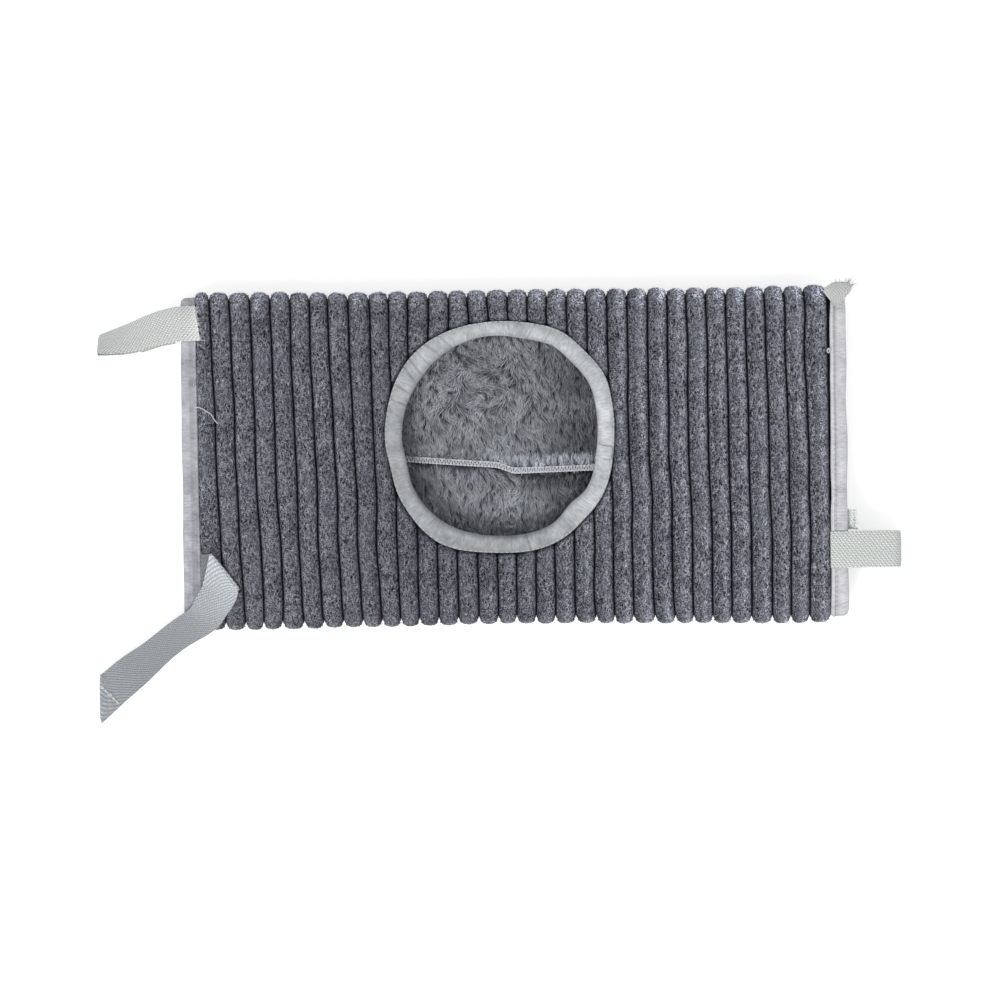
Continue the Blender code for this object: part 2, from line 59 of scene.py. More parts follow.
ringLow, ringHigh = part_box("hole_binding")

tunnel = {
    "ribPitch": 10.83 * mm,
    "firstGroove": 18.5 * mm,  # from the left mouth
    "leftLean": 0.038,  # the ribs lean most at the left, a share of the way across
    "rightLean": 0.0055,
    "mouthLift": 4 * mm,  # the mouths close up towards the middle height
    "mouthDrop": 2 * mm,
    "mouthSlope": 60 * mm,
    "floorFlat": 0.5 * mm,  # how far the weight flattens the crests it lies on
    "shellWall": 7.2 * mm,
    "liningStart": 7.55 * mm,
    "wallInner": 10.75 * mm,
    "boundEdge": 4.6 * mm,
    "rim": 1.3 * mm,  # where the cloths end, under the mouths' tape
    "softDent": 0.9 * mm,  # the laid cloth is not quite level
    # how far the near and the far side are drawn in, at these shares along the tunnel
    "drawnAt": (0.0, 0.12, 0.3, 0.5, 0.7, 0.85, 1.0),
    "drawnNear": (0.3 * mm, 0.6 * mm, 1.2 * mm, 2.1 * mm, 1.2 * mm, 0.2 * mm, 0.0),
    "drawnFar": (0.3 * mm, 0.7 * mm, 1.6 * mm, 1.2 * mm, 1.5 * mm, 1.4 * mm, 0.6 * mm),
}
leftEnd = leftLow.x
tunnelLength = rightHigh.x - leftLow.x
middleY = (shellLow.y + shellHigh.y) / 2
tunnelWidth = shellHigh.y - shellLow.y
tunnelHeight = shellHigh.z + tunnel["floorFlat"]
sideRound = tunnelHeight / 2
flatHalf = tunnelWidth / 2 - sideRound
flatRun = 2.0 * flatHalf  # the section's flat top, then the round of its far side, and so on round
arcRun = math.pi * sideRound
girth = 2.0 * (flatRun + arcRun)
crestTop = shellHigh.z
bindingWidth = leftHigh.x - leftLow.x

entrance = {
    "radius": 54.7 * mm,
    "tapeWidth": 8.9 * mm,
    "squareness": 0.032,  # the sewn ring is not quite a circle
    "stretch": 1.005,
    "tapeLevel": 3.3 * mm,  # below the crests
    "tapeThickness": 1 * mm,
    # where the sewn ring was pulled: turn and spread in degrees, how far its inner and its outer edge move
    "pulls": ((-8, 16, -1.1 * mm, -0.9 * mm), (30, 11, 1.1 * mm, 1.6 * mm), (60, 11, 1.5 * mm, 1.5 * mm),
              (95, 16, 1.0 * mm, -0.5 * mm), (142, 20, -1.8 * mm, 0.5 * mm), (195, 10, -1.2 * mm, -1.1 * mm),
              (240, 16, 0.4 * mm, 2.2 * mm), (290, 16, 0.4 * mm, 1.0 * mm), (315, 10, -2.9 * mm, -1.0 * mm)),
}
cutRadius = entrance["radius"] + entrance["tapeThickness"] + 0.3 * mm
holeX = (ringLow.x + ringHigh.x) / 2
holeY = (ringLow.y + ringHigh.y) / 2


# Small helpers

def toLinear(hexColour):
    values = [int(hexColour[place:place + 2], 16) / 255 for place in (1, 3, 5)]
    return tuple(v / 12.92 if v <= 0.04045 else ((v + 0.055) / 1.055) ** 2.4 for v in values) + (1.0,)


def addNode(tree, kind, settings=None, inputs=None):
    # an input takes a value, a socket, or a node whose first output is meant
    node = tree.nodes.new(kind)
    for name, value in (settings or {}).items():
        setattr(node, name, value)
    for name, value in (inputs or {}).items():
        if isinstance(value, bpy.types.Node):
            value = value.outputs[0]
        if isinstance(value, bpy.types.NodeSocket):
            tree.links.new(value, node.inputs[name])
        else:
            node.inputs[name].default_value = value
    return node


def smooth(value):
    held = np.clip(value, 0.0, 1.0)
    return held * held * (3.0 - 2.0 * held)


noiseSide = 32
noiseTable = np.random.default_rng(7).random((noiseSide, noiseSide, noiseSide)) * 2.0 - 1.0


def softNoise(points, size, shift=0.0):
    # smooth values from -1 to 1 that vary over about this size
    scaled = np.asarray(points, float) / size + 500.0 + shift
    cell = np.floor(scaled).astype(int)
    part = scaled - cell
    part = part * part * (3.0 - 2.0 * part)
    total = np.zeros(scaled.shape[:-1])
    for corner in np.ndindex(2, 2, 2):
        weight = np.ones(scaled.shape[:-1])
        for axis, side in enumerate(corner):
            weight = weight * (part[..., axis] if side else 1.0 - part[..., axis])
        index = (cell + np.array(corner)) % noiseSide
        total = total + weight * noiseTable[index[..., 0], index[..., 1], index[..., 2]]
    return total


def stack(*arrays):
    return np.stack(np.broadcast_arrays(*arrays), axis=-1).astype(float)


def gridFaces(rows, columns, rowsClosed, columnsClosed):
    rowIndex = np.arange(rows if rowsClosed else rows - 1)[:, None]
    columnIndex = np.arange(columns if columnsClosed else columns - 1)[None, :]
    nextRow = (rowIndex + 1) % rows
    nextColumn = (columnIndex + 1) % columns
    quads = [rowIndex * columns + columnIndex, rowIndex * columns + nextColumn,
             nextRow * columns + nextColumn, nextRow * columns + columnIndex]
    return np.stack(np.broadcast_arrays(*quads), axis=-1).reshape(-1, 4)


def tubeFaces(rings, sides):
    # faces through rings of points, with both ends closed
    end = rings * sides
    caps = [tuple(range(sides)), tuple(range(end - 1, end - sides - 1, -1))]
    return [tuple(face) for face in gridFaces(rings, sides, False, True)] + caps


def turnOutwards(mesh):
    work = bmesh.new()
    work.from_mesh(mesh)
    bmesh.ops.recalc_face_normals(work, faces=work.faces)
    work.to_mesh(mesh)
    work.free()


def makePiece(name, points, faces, material, attributes=None, uv=None, closed=True):
    mesh = bpy.data.meshes.new(name)
    flat = np.asarray(points, float).reshape(-1, 3)
    mesh.from_pydata(flat, [], [tuple(face) for face in faces])
    if closed:
        turnOutwards(mesh)
    for key, values in (attributes or {}).items():
        layer = mesh.attributes.new(key, "FLOAT", "POINT")
        layer.data.foreach_set("value", np.asarray(values, np.float32).ravel())
    if uv is not None:
        layer = mesh.uv_layers.new(name="Cloth")
        corners = np.zeros(len(mesh.loops), int)
        mesh.loops.foreach_get("vertex_index", corners)
        layer.data.foreach_set("uv", np.asarray(uv, np.float32).reshape(-1, 2)[corners].ravel())
    mesh.shade_smooth()
    mesh.materials.append(material)
    piece = bpy.data.objects.new(name, mesh)
    bpy.context.scene.collection.objects.link(piece)
    return piece


# The tunnel's shape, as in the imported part

def mouthNearness(u):
    return smooth(1.0 - np.minimum(u, tunnelLength - u) / tunnel["mouthSlope"])


def leanShare(u):
    lean = tunnel["leftLean"] + (tunnel["rightLean"] - tunnel["leftLean"]) * u / tunnelLength
    edge = bindingWidth + 0.3 * mm
    inside = np.minimum(u - edge, tunnelLength - edge - u)
    return lean * smooth(inside / tunnel["ribPitch"])


def softDent(x, y, z):
    # the cloth lies a little unevenly, away from its bound mouths
    share = smooth((z - sideRound) / sideRound) * smooth((np.minimum(x - leftEnd, rightHigh.x - x)) / 0.05)
    return tunnel["softDent"] * share * softNoise(stack(x, y, 0.0 * x), 48 * mm)


def tunnelPlace(u, y, z):
    u, y, z = np.broadcast_arrays(np.asarray(u, float), np.asarray(y, float), np.asarray(z, float))
    near = mouthNearness(u)
    squeeze = 1.0 - near * (tunnel["mouthLift"] + tunnel["mouthDrop"]) / tunnelHeight
    x = leftEnd + u - leanShare(u) * y
    height = near * tunnel["mouthLift"] + z * squeeze - tunnel["floorFlat"]
    return stack(x, middleY + y, height + softDent(x, middleY + y, height))


def sectionPlace(w, inset):
    # place (y, z) round the tunnel's section, w being the distance along its crests from the near side
    w, inset = np.broadcast_arrays(np.asarray(w, float), np.asarray(inset, float))
    radius = sideRound - inset
    turnOne = (w - flatRun) / sideRound
    turnTwo = (w - 2.0 * flatRun - arcRun) / sideRound
    where = [w < flatRun, w < flatRun + arcRun, w < 2.0 * flatRun + arcRun]
    y = np.select(where, [w - flatHalf, flatHalf + radius * np.sin(turnOne), flatHalf - (w - flatRun - arcRun)],
                  -flatHalf - radius * np.sin(turnTwo))
    z = np.select(where, [sideRound + radius, sideRound + radius * np.cos(turnOne), sideRound - radius],
                  sideRound - radius * np.cos(turnTwo))
    return y, z


def roundTrip(w, size):
    # the section's round as a circle, so that what varies along it joins up with itself
    turn = 2.0 * math.pi * np.asarray(w, float) / girth
    reach = girth / (2.0 * math.pi * size)
    return reach * np.cos(turn), reach * np.sin(turn)


def roundSection(topStep, sideStep, underStep):
    # distances round the section, finer where it shows
    top = np.linspace(0.0, flatRun, int(flatRun / topStep), endpoint=False)
    far = np.linspace(flatRun, flatRun + arcRun, int(arcRun / sideStep), endpoint=False)
    under = np.linspace(flatRun + arcRun, 2.0 * flatRun + arcRun, int(flatRun / underStep), endpoint=False)
    near = np.linspace(2.0 * flatRun + arcRun, girth, int(arcRun / sideStep), endpoint=False)
    return np.concatenate([top, far, under, near])


def squareReach(turn):
    # how much further out the entrance's edge lies, as it is a little square
    return entrance["radius"] * entrance["squareness"] * (1.0 - np.cos(4.0 * turn)) / 2.0


def ringPull(turn, distance):
    # how far the sewing pulled the ring in or out, from its inner edge to its outer
    outward = np.clip(distance / entrance["tapeWidth"], 0.0, 1.0)
    total = 0.0 * turn * distance
    for at, spread, inner, outer in entrance["pulls"]:
        away = (turn - math.radians(at) + math.pi) % (2.0 * math.pi) - math.pi
        total = total + (inner + (outer - inner) * outward) * np.exp(-(away / math.radians(spread)) ** 2)
    return total


def ringDistance(x, y):
    # distance from the entrance's middle, measured as on a round ring
    across = x - holeX
    up = (y - holeY) / entrance["stretch"]
    turn = np.arctan2(up, across)
    reach = np.hypot(across, up) - squareReach(turn)
    return reach - ringPull(turn, reach - entrance["radius"])


def ringPlace(radius, turn, z):
    reach = radius + squareReach(turn)
    x = holeX + reach * np.cos(turn)
    y = holeY + reach * entrance["stretch"] * np.sin(turn)
    x, y, z = np.broadcast_arrays(x, y, np.asarray(z, float))
    return stack(x, y, z + softDent(x, y, z))


# Materials

def newMaterial(name, roughness):
    made = bpy.data.materials.new(name)
    made.use_nodes = True
    tree = made.node_tree
    shader = tree.nodes["Principled BSDF"]
    shader.inputs["Specular IOR Level"].default_value = 0.15
    shader.inputs["Roughness"].default_value = roughness
    return made, tree, shader


plushLook = {
    # painted shade: near-black down in the grooves
    "groove": "#121425",
    # painted shade down in the pits between the curls
    "pit": "#1c1e28",
    "pile": "#888b97",
    "curl": "#dfe2ea",
    "curlSize": 1.9 * mm,
    "curlStretch": 0.5,  # along the rib
    "patchSize": 17 * mm,
}


def addCurls(tree):
    # short curled pile: thin light curls that wind between dark pits, the pits being painted shade down in the pile,
    # plainer in some patches
    size = plushLook["curlSize"]
    dark, mid, light = (toLinear(plushLook[part]) for part in ("pit", "pile", "curl"))
    place = addNode(tree, "ShaderNodeTexCoord").outputs["Object"]
    drawn = addNode(tree, "ShaderNodeMapping", None, {"Vector": place, "Scale": (1.0, plushLook["curlStretch"], 1.0)})
    wind = addNode(tree, "ShaderNodeTexNoise", None,
                   {"Vector": drawn, "Scale": 1.0 / size, "Detail": 1.0, "Distortion": 0.6})
    pits = addNode(tree, "ShaderNodeTexNoise", None,
                   {"Vector": drawn, "Scale": 2.1 / size, "Detail": 2.0, "Roughness": 0.6})
    patch = addNode(tree, "ShaderNodeTexNoise", None,
                    {"Vector": place, "Scale": 1.0 / plushLook["patchSize"], "Detail": 2.0})
    fromMiddle = addNode(tree, "ShaderNodeMath", {"operation": "SUBTRACT"}, {0: wind, 1: 0.5})
    away = addNode(tree, "ShaderNodeMath", {"operation": "ABSOLUTE"}, {0: fromMiddle})
    ridge = addNode(tree, "ShaderNodeMapRange", None, {"Value": away, "From Min": 0.085, "From Max": 0.0})
    filled = addNode(tree, "ShaderNodeMapRange", None, {"Value": pits, "From Min": 0.38, "From Max": 0.56})
    body = addNode(tree, "ShaderNodeMix", {"data_type": "RGBA"}, {0: filled, 6: dark, 7: mid}).outputs[2]
    strength = addNode(tree, "ShaderNodeMapRange", None,
                       {"Value": patch, "From Min": 0.3, "From Max": 0.62, "To Min": 0.35, "To Max": 0.95})
    share = addNode(tree, "ShaderNodeMath", {"operation": "MULTIPLY"}, {0: ridge, 1: strength})
    lit = addNode(tree, "ShaderNodeMix", {"data_type": "RGBA"}, {0: share, 6: body, 7: light}).outputs[2]
    calm = addNode(tree, "ShaderNodeMapRange", None,
                   {"Value": patch, "From Min": 0.5, "From Max": 0.62, "To Max": 0.5})
    mixed = addNode(tree, "ShaderNodeMix", {"data_type": "RGBA"}, {0: calm, 6: lit, 7: mid})
    return mixed.outputs[2], filled


def makePlush():
    # coral fleece with wide ribs: short curled pile in nubs, with painted shade down in the grooves
    made, tree, shader = newMaterial("coral fleece, wide rib", 0.95)
    colour, pits = addCurls(tree)
    depth = addNode(tree, "ShaderNodeAttribute", {"attribute_name": "ribDepth"}).outputs["Fac"]
    # the ribDepth attribute mixes in the painted groove shade towards each groove
    shown = addNode(tree, "ShaderNodeMapRange", None, {"Value": depth, "From Min": 0.3, "From Max": 0.8})
    shaded = addNode(tree, "ShaderNodeMix", {"data_type": "RGBA"},
                     {0: shown, 6: toLinear(plushLook["groove"]), 7: colour})
    bump = addNode(tree, "ShaderNodeBump", None, {"Height": pits, "Strength": 0.9, "Distance": 0.5 * mm})
    tree.links.new(shaded.outputs[2], shader.inputs["Base Color"])
    tree.links.new(bump.outputs[0], shader.inputs["Normal"])
    return made


def makeTuft():
    # the tufts of that pile: the same curls, with painted shade at their roots and down the sides of a rib, and
    # painted light on one flank
    made, tree, shader = newMaterial("coral fleece pile", 0.9)
    colour = addCurls(tree)[0]
    tip, shade, tone = (addNode(tree, "ShaderNodeAttribute", {"attribute_name": name}).outputs["Fac"]
                        for name in ("tip", "strandShade", "pileTone"))
    # painted shade towards the roots
    high = addNode(tree, "ShaderNodeMapRange", None, {"Value": tip, "From Max": 0.8, "To Min": 0.5})
    uneven = addNode(tree, "ShaderNodeMapRange", None, {"Value": shade, "To Min": 0.8, "To Max": 1.35})
    both = addNode(tree, "ShaderNodeMath", {"operation": "MULTIPLY"}, {0: high, 1: uneven})
    amount = addNode(tree, "ShaderNodeMath", {"operation": "MULTIPLY"}, {0: both, 1: tone})
    toned = addNode(tree, "ShaderNodeVectorMath", {"operation": "SCALE"}, {0: colour, "Scale": amount})
    tree.links.new(toned.outputs[0], shader.inputs["Base Color"])
    return made


def makePile(name, dark, mid, light):
    # one strand of pile: painted shade at its root, lighter at its tip, each strand a little different, scaled by the
    # painted light and shade in pileTone
    made, tree, shader = newMaterial(name, 0.9)
    tip, shade, tone = (addNode(tree, "ShaderNodeAttribute", {"attribute_name": name}).outputs["Fac"]
                        for name in ("tip", "strandShade", "pileTone"))
    # painted shade towards the root
    body = addNode(tree, "ShaderNodeMix", {"data_type": "RGBA"}, {0: tip, 6: toLinear(dark), 7: toLinear(mid)})
    bright = addNode(tree, "ShaderNodeMath", {"operation": "MULTIPLY", "use_clamp": True}, {0: tip, 1: shade})
    colour = addNode(tree, "ShaderNodeMix", {"data_type": "RGBA"},
                     {0: bright, 6: body.outputs[2], 7: toLinear(light)}).outputs[2]
    toned = addNode(tree, "ShaderNodeVectorMath", {"operation": "SCALE"}, {0: colour, "Scale": tone})
    tree.links.new(toned.outputs[0], shader.inputs["Base Color"])
    return made


tapeLook = {
    "patchSize": 9.09 * mm,
    "threadSize": 0.909 * mm,  # coarser than the real thread, so that it shows
}


def makeTape(name, low, high):
    # bias tape of plain-woven polyester and cotton: matt, fine threads across it, uneven in tone
    made, tree, shader = newMaterial(name, 0.8)
    place = addNode(tree, "ShaderNodeTexCoord").outputs["Object"]
    cloth = addNode(tree, "ShaderNodeUVMap", {"uv_map": "Cloth"})
    drawn = addNode(tree, "ShaderNodeMapping", None, {"Vector": cloth, "Scale": (1.0, 0.25, 1.0)})
    tone = addNode(tree, "ShaderNodeTexNoise", None,
                   {"Vector": place, "Scale": 1.0 / tapeLook["patchSize"], "Detail": 4.0, "Roughness": 0.65})
    threads = addNode(tree, "ShaderNodeTexNoise", None,
                      {"Vector": drawn, "Scale": 1.0 / tapeLook["threadSize"], "Detail": 2.0})
    spread = addNode(tree, "ShaderNodeMapRange", None, {"Value": tone, "From Min": 0.3, "From Max": 0.7})
    broad = addNode(tree, "ShaderNodeMix", {"data_type": "RGBA"},
                    {0: spread, 6: toLinear(low), 7: toLinear(high)}).outputs[2]
    speck = addNode(tree, "ShaderNodeMapRange", None,
                    {"Value": threads, "From Min": 0.3, "From Max": 0.7, "To Min": 0.8, "To Max": 1.1})
    bump = addNode(tree, "ShaderNodeBump", None, {"Height": threads, "Strength": 0.5, "Distance": 0.3 * mm})
    # the clothShade attribute: painted light and shade of folds, creases and turns, with some tone
    paintedLightAndTone = addNode(tree, "ShaderNodeAttribute", {"attribute_name": "clothShade"}).outputs["Fac"]
    amount = addNode(tree, "ShaderNodeMath", {"operation": "MULTIPLY"}, {0: speck, 1: paintedLightAndTone})
    toned = addNode(tree, "ShaderNodeVectorMath", {"operation": "SCALE"}, {0: broad, "Scale": amount})
    tree.links.new(toned.outputs[0], shader.inputs["Base Color"])
    tree.links.new(bump.outputs[0], shader.inputs["Normal"])
    return made


webbingLook = {
    "shadow": "#9ba3a2",
    "yarn": "#e3e6e4",
    "floatHighlight": "#fdfefc",
    "pick": 0.95 * mm,  # across the webbing
    "float": 2.1 * mm,  # along it
    "step": 0.36,  # how far each pick steps on, as a share of a float
    "wander": 1.3,  # how far a pick strays, in picks, and over what size
    "wanderSize": 6.25 * mm,
    "grainSize": 1.111 * mm,
}


def makeWebbing(name, shadow, yarn, floatHighlight):
    # twill webbing of thick spun yarn: short floats that step sideways from pick to pick
    made, tree, shader = newMaterial(name, 0.75)
    pick = webbingLook["pick"]
    cloth = addNode(tree, "ShaderNodeUVMap", {"uv_map": "Cloth"})
    split = addNode(tree, "ShaderNodeSeparateXYZ", None, {0: cloth})
    drift = addNode(tree, "ShaderNodeTexNoise", None,
                    {"Vector": cloth, "Scale": 1.0 / webbingLook["wanderSize"], "Detail": 2.0})
    strayed = addNode(tree, "ShaderNodeMath", {"operation": "SUBTRACT"}, {0: drift, 1: 0.5})
    wander = addNode(tree, "ShaderNodeMath", {"operation": "MULTIPLY"},
                     {0: strayed, 1: webbingLook["wander"] * pick})
    moved = addNode(tree, "ShaderNodeMath", {"operation": "ADD"}, {0: split.outputs["Y"], 1: wander})
    across = addNode(tree, "ShaderNodeMath", {"operation": "DIVIDE"}, {0: moved, 1: pick})
    row = addNode(tree, "ShaderNodeMath", {"operation": "FLOOR"}, {0: across})
    along = addNode(tree, "ShaderNodeMath", {"operation": "DIVIDE"}, {0: split.outputs["X"], 1: webbingLook["float"]})
    stepped = addNode(tree, "ShaderNodeMath", {"operation": "MULTIPLY_ADD"},
                      {0: row, 1: webbingLook["step"], 2: along})
    humps = []
    for place in (stepped, across):
        share = addNode(tree, "ShaderNodeMath", {"operation": "FRACT"}, {0: place})
        turn = addNode(tree, "ShaderNodeMath", {"operation": "MULTIPLY"}, {0: share, 1: math.pi})
        humps.append(addNode(tree, "ShaderNodeMath", {"operation": "SINE"}, {0: turn}))
    height = addNode(tree, "ShaderNodeMath", {"operation": "MULTIPLY"}, {0: humps[0], 1: humps[1]})
    grain = addNode(tree, "ShaderNodeTexNoise", None,
                    {"Vector": cloth, "Scale": 1.0 / webbingLook["grainSize"], "Detail": 2.0})
    uneven = addNode(tree, "ShaderNodeMath", {"operation": "MULTIPLY"}, {0: height, 1: grain})
    body = addNode(tree, "ShaderNodeMapRange", None, {"Value": uneven, "From Min": 0.02, "From Max": 0.17})
    # painted shadow between the floats, painted highlight on their highest tops
    spark = addNode(tree, "ShaderNodeMapRange", None, {"Value": uneven, "From Min": 0.38, "From Max": 0.56})
    plain = addNode(tree, "ShaderNodeMix", {"data_type": "RGBA"},
                    {0: body, 6: toLinear(shadow), 7: toLinear(yarn)}).outputs[2]
    colour = addNode(tree, "ShaderNodeMix", {"data_type": "RGBA"},
                     {0: spark, 6: plain, 7: toLinear(floatHighlight)}).outputs[2]
    bump = addNode(tree, "ShaderNodeBump", None, {"Height": height, "Strength": 0.7, "Distance": 0.4 * mm})
    # the clothShade attribute: painted light and shade along the strap
    paintedLightAndTone = addNode(tree, "ShaderNodeAttribute", {"attribute_name": "clothShade"}).outputs["Fac"]
    toned = addNode(tree, "ShaderNodeVectorMath", {"operation": "SCALE"}, {0: colour, "Scale": paintedLightAndTone})
    tree.links.new(toned.outputs[0], shader.inputs["Base Color"])
    tree.links.new(bump.outputs[0], shader.inputs["Normal"])
    return made


plySize = 0.667 * mm  # coarser than the real ply, so that it shows


def makeThread(name, colour):
    # spun polyester sewing thread: pale and slightly glossy
    made, tree, shader = newMaterial(name, 0.5)
    place = addNode(tree, "ShaderNodeTexCoord").outputs["Object"]
    ply = addNode(tree, "ShaderNodeTexNoise", None, {"Vector": place, "Scale": 1.0 / plySize, "Detail": 1.0})
    shade = addNode(tree, "ShaderNodeMapRange", None,
                    {"Value": ply, "From Min": 0.3, "From Max": 0.7, "To Min": 0.75})
    tone = addNode(tree, "ShaderNodeVectorMath", {"operation": "SCALE"}, {0: toLinear(colour)[:3], "Scale": shade})
    tree.links.new(tone.outputs[0], shader.inputs["Base Color"])
    return made


plush = makePlush()
plushTuft = makeTuft()
liningBase = makePile("lining fleece backing", "#4a4e57", "#5d616a", "#6a6e77")
liningFur = makePile("lining fleece pile", "#5a5e68", "#8d919b", "#e6e9ee")
tapeGrey = makeTape("bias tape, lilac grey", "#9c9ca5", "#c8c8ce")
tapePale = makeTape("bias tape, pale", "#c9c9cd", "#e2e2e5")
ringTape = makeTape("bias tape, entrance", "#a0a4a8", "#c9ccce")
webbing = makeWebbing("twill webbing", webbingLook["shadow"], webbingLook["yarn"], webbingLook["floatHighlight"])
# a darker, bluer copy of the webbing for the bottom left strap and its root: painted shade where they slope away from
# the light or lie under the tape
webbingShade = makeWebbing("twill webbing, shaded copy", "#7a8289", "#c9ced3", "#f6f8fa")
threadWhite = makeThread("sewing thread, white", "#e4e6ea")
threadGrey = makeThread("sewing thread, grey", "#c4c4ca")
print("materials made")


# The ribbed outer plush

ribbedPlush = {
    "acrossRib": 10,
    "topStep": 1.7 * mm,
    "sideStep": 2.0 * mm,
    "underStep": 3.2 * mm,
    "grooveDepth": 3.8 * mm,
    "roundness": 2.3,
    "grooveWave": 1.1 * mm,
    "waveLength": 27 * mm,
    "unevenCrest": 0.5 * mm,
    "nub": 2.6 * mm,
    "nubHeight": 0.22 * mm,
    "underTape": 1.0 * mm,
    "ringRamp": 2.4 * mm,
    "edgeShift": (2.0 * mm, 0.2 * mm),  # the first rib starts further in at the near side than at the far side
    "lastReach": 0.9 * mm,  # how much wider the last rib is
}


def ribStations():
    start = bindingWidth - ribbedPlush["underTape"]
    end = tunnelLength - start
    grooves = [start]
    place = tunnel["firstGroove"]
    while place < end:
        grooves.append(place)
        place = place + tunnel["ribPitch"]
    stations = []  # along the tunnel, rib number, share across the rib, depth of the groove beside it
    for index, (before, after) in enumerate(zip(grooves, grooves[1:])):
        last = index == len(grooves) - 2
        for step in range(ribbedPlush["acrossRib"] + (1 if last else 0)):
            share = (1.0 - math.cos(math.pi * step / ribbedPlush["acrossRib"])) / 2.0
            deep = ribbedPlush["grooveDepth"]
            if (index == 0 and share < 0.5) or (last and share > 0.5):
                deep = tunnel["boundEdge"]
            stations.append((before + (after - before) * share, index + share, share, deep))
    stations.append((end, len(grooves) - 1, 1.0, tunnel["boundEdge"]))  # flat, under the right mouth's tape
    return np.array(stations)


def plushPlaces(stations, around):
    u, rib, share, deep = (stations[:, column][:, None] for column in range(4))
    lift = (1.0 - np.abs(2.0 * share - 1.0) ** ribbedPlush["roundness"]) ** 0.5
    w = around[None, :]
    along = stack(rib * 0.55, *roundTrip(w, ribbedPlush["waveLength"]))
    fade = smooth(np.minimum(u - bindingWidth, tunnelLength - bindingWidth - u) / (6 * mm))
    sideways = ribbedPlush["grooveWave"] * softNoise(along, 1.0) * fade
    crest = stack(np.floor(rib) * 1.7, *roundTrip(w, 14 * mm))
    uneven = ribbedPlush["unevenCrest"] * (softNoise(crest, 1.0) * 0.6 + 0.4) * lift
    inset = deep * (1.0 - lift) + uneven
    y, z = sectionPlace(w + 0.0 * u, inset)
    edgeShift = np.interp(y, (-tunnelWidth / 2, tunnelWidth / 2), ribbedPlush["edgeShift"])
    sideways = sideways + edgeShift * (rib < 1.0) * (1.0 - share)
    ribCount = float(stations[-1, 1])
    sideways = sideways + ribbedPlush["lastReach"] * (rib > ribCount - 1.0) * (u < tunnelLength - 8 * mm) * share
    aside = np.abs(y) / (tunnelWidth / 2)
    drawn = np.where(y > 0.0, np.interp(u / tunnelLength, tunnel["drawnAt"], tunnel["drawnFar"]),
                     np.interp(u / tunnelLength, tunnel["drawnAt"], tunnel["drawnNear"]))
    y = y - np.sign(y) * drawn * smooth(aside)
    places = tunnelPlace(u + sideways, y, z)
    nubs = softNoise(places, ribbedPlush["nub"], 5.0) * ribbedPlush["nubHeight"] * lift
    outward = np.stack([np.zeros_like(y), y - np.clip(y, -flatHalf, flatHalf), z - sideRound], axis=-1)
    outward = outward / np.maximum(np.linalg.norm(outward, axis=-1, keepdims=True), 1e-6)
    places = places + outward * nubs[..., None]
    radius = ringDistance(places[..., 0], places[..., 1])
    edge = entrance["radius"] + entrance["tapeWidth"]
    dip = smooth((edge + ribbedPlush["ringRamp"] - radius) / ribbedPlush["ringRamp"])
    dip = dip * (places[..., 2] > sideRound)
    places[..., 2] = places[..., 2] - dip * np.maximum(tunnel["boundEdge"] - inset, 0.0)
    places[..., 2] = np.maximum(places[..., 2], 0.1 * mm)
    # painted shade: the plush's colour darkens where it dips under the entrance's tape
    return places, lift * (1.0 - 0.6 * dip)


def cutEntrance(piece):
    # cut through the upper layer only
    steps = 96
    turn = np.linspace(0.0, 2.0 * math.pi, steps, endpoint=False)
    reach = cutRadius + squareReach(turn)
    x = holeX + reach * np.cos(turn)
    y = holeY + reach * entrance["stretch"] * np.sin(turn)
    points = np.concatenate([stack(x, y, level + 0.0 * x) for level in (sideRound, 2.0 * tunnelHeight)])
    faces = [(i, (i + 1) % steps, steps + (i + 1) % steps, steps + i) for i in range(steps)]
    faces.append(tuple(range(steps - 1, -1, -1)))
    faces.append(tuple(range(steps, 2 * steps)))
    cutter = makePiece("entranceCutter", points, faces, plush)
    cut = piece.modifiers.new("entrance", "BOOLEAN")
    cut.operation = "DIFFERENCE"
    cut.solver = "EXACT"
    cut.object = cutter
    graph = bpy.context.evaluated_depsgraph_get()
    mesh = bpy.data.meshes.new_from_object(piece.evaluated_get(graph))
    piece.modifiers.clear()
    piece.data = mesh
    bpy.data.objects.remove(cutter)


def makeShell():
    stations = ribStations()
    around = roundSection(ribbedPlush["topStep"], ribbedPlush["sideStep"], ribbedPlush["underStep"])
    places, lift = plushPlaces(stations, around)
    ends = (tunnel["rim"], tunnelLength - tunnel["rim"])
    first, last = ([tunnelPlace(u, *sectionPlace(around, tunnel["boundEdge"]))] for u in ends)
    innerStations = np.linspace(ends[1], ends[0], 24)
    inner = np.stack([tunnelPlace(u, *sectionPlace(around, tunnel["shellWall"])) for u in innerStations])
    points = np.concatenate([first, places, last, inner])
    depth = np.concatenate([np.zeros((1, len(around))), lift, np.zeros((1 + len(inner), len(around)))])
    faces = gridFaces(len(points), len(around), True, True)
    shell = makePiece("plushShell", points, faces, plush, attributes={"ribDepth": depth})
    cutEntrance(shell)
    shell.data.shade_smooth()
    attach(shell, "tunnel")
    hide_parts("ribbed_shell")
    return stations, around, places, lift


shellGrid = makeShell()
print("ribbed shell made")


# Pile and fur, scattered over a surface by one tree

def newTree(name, inputs):
    tree = bpy.data.node_groups.new(name, "GeometryNodeTree")
    tree.interface.new_socket("Geometry", in_out="INPUT", socket_type="NodeSocketGeometry")
    for label, kind in inputs.items():
        tree.interface.new_socket(label, in_out="INPUT", socket_type="NodeSocket" + kind)
    tree.interface.new_socket("Geometry", in_out="OUTPUT", socket_type="NodeSocketGeometry")
    return tree, addNode(tree, "NodeGroupInput").outputs


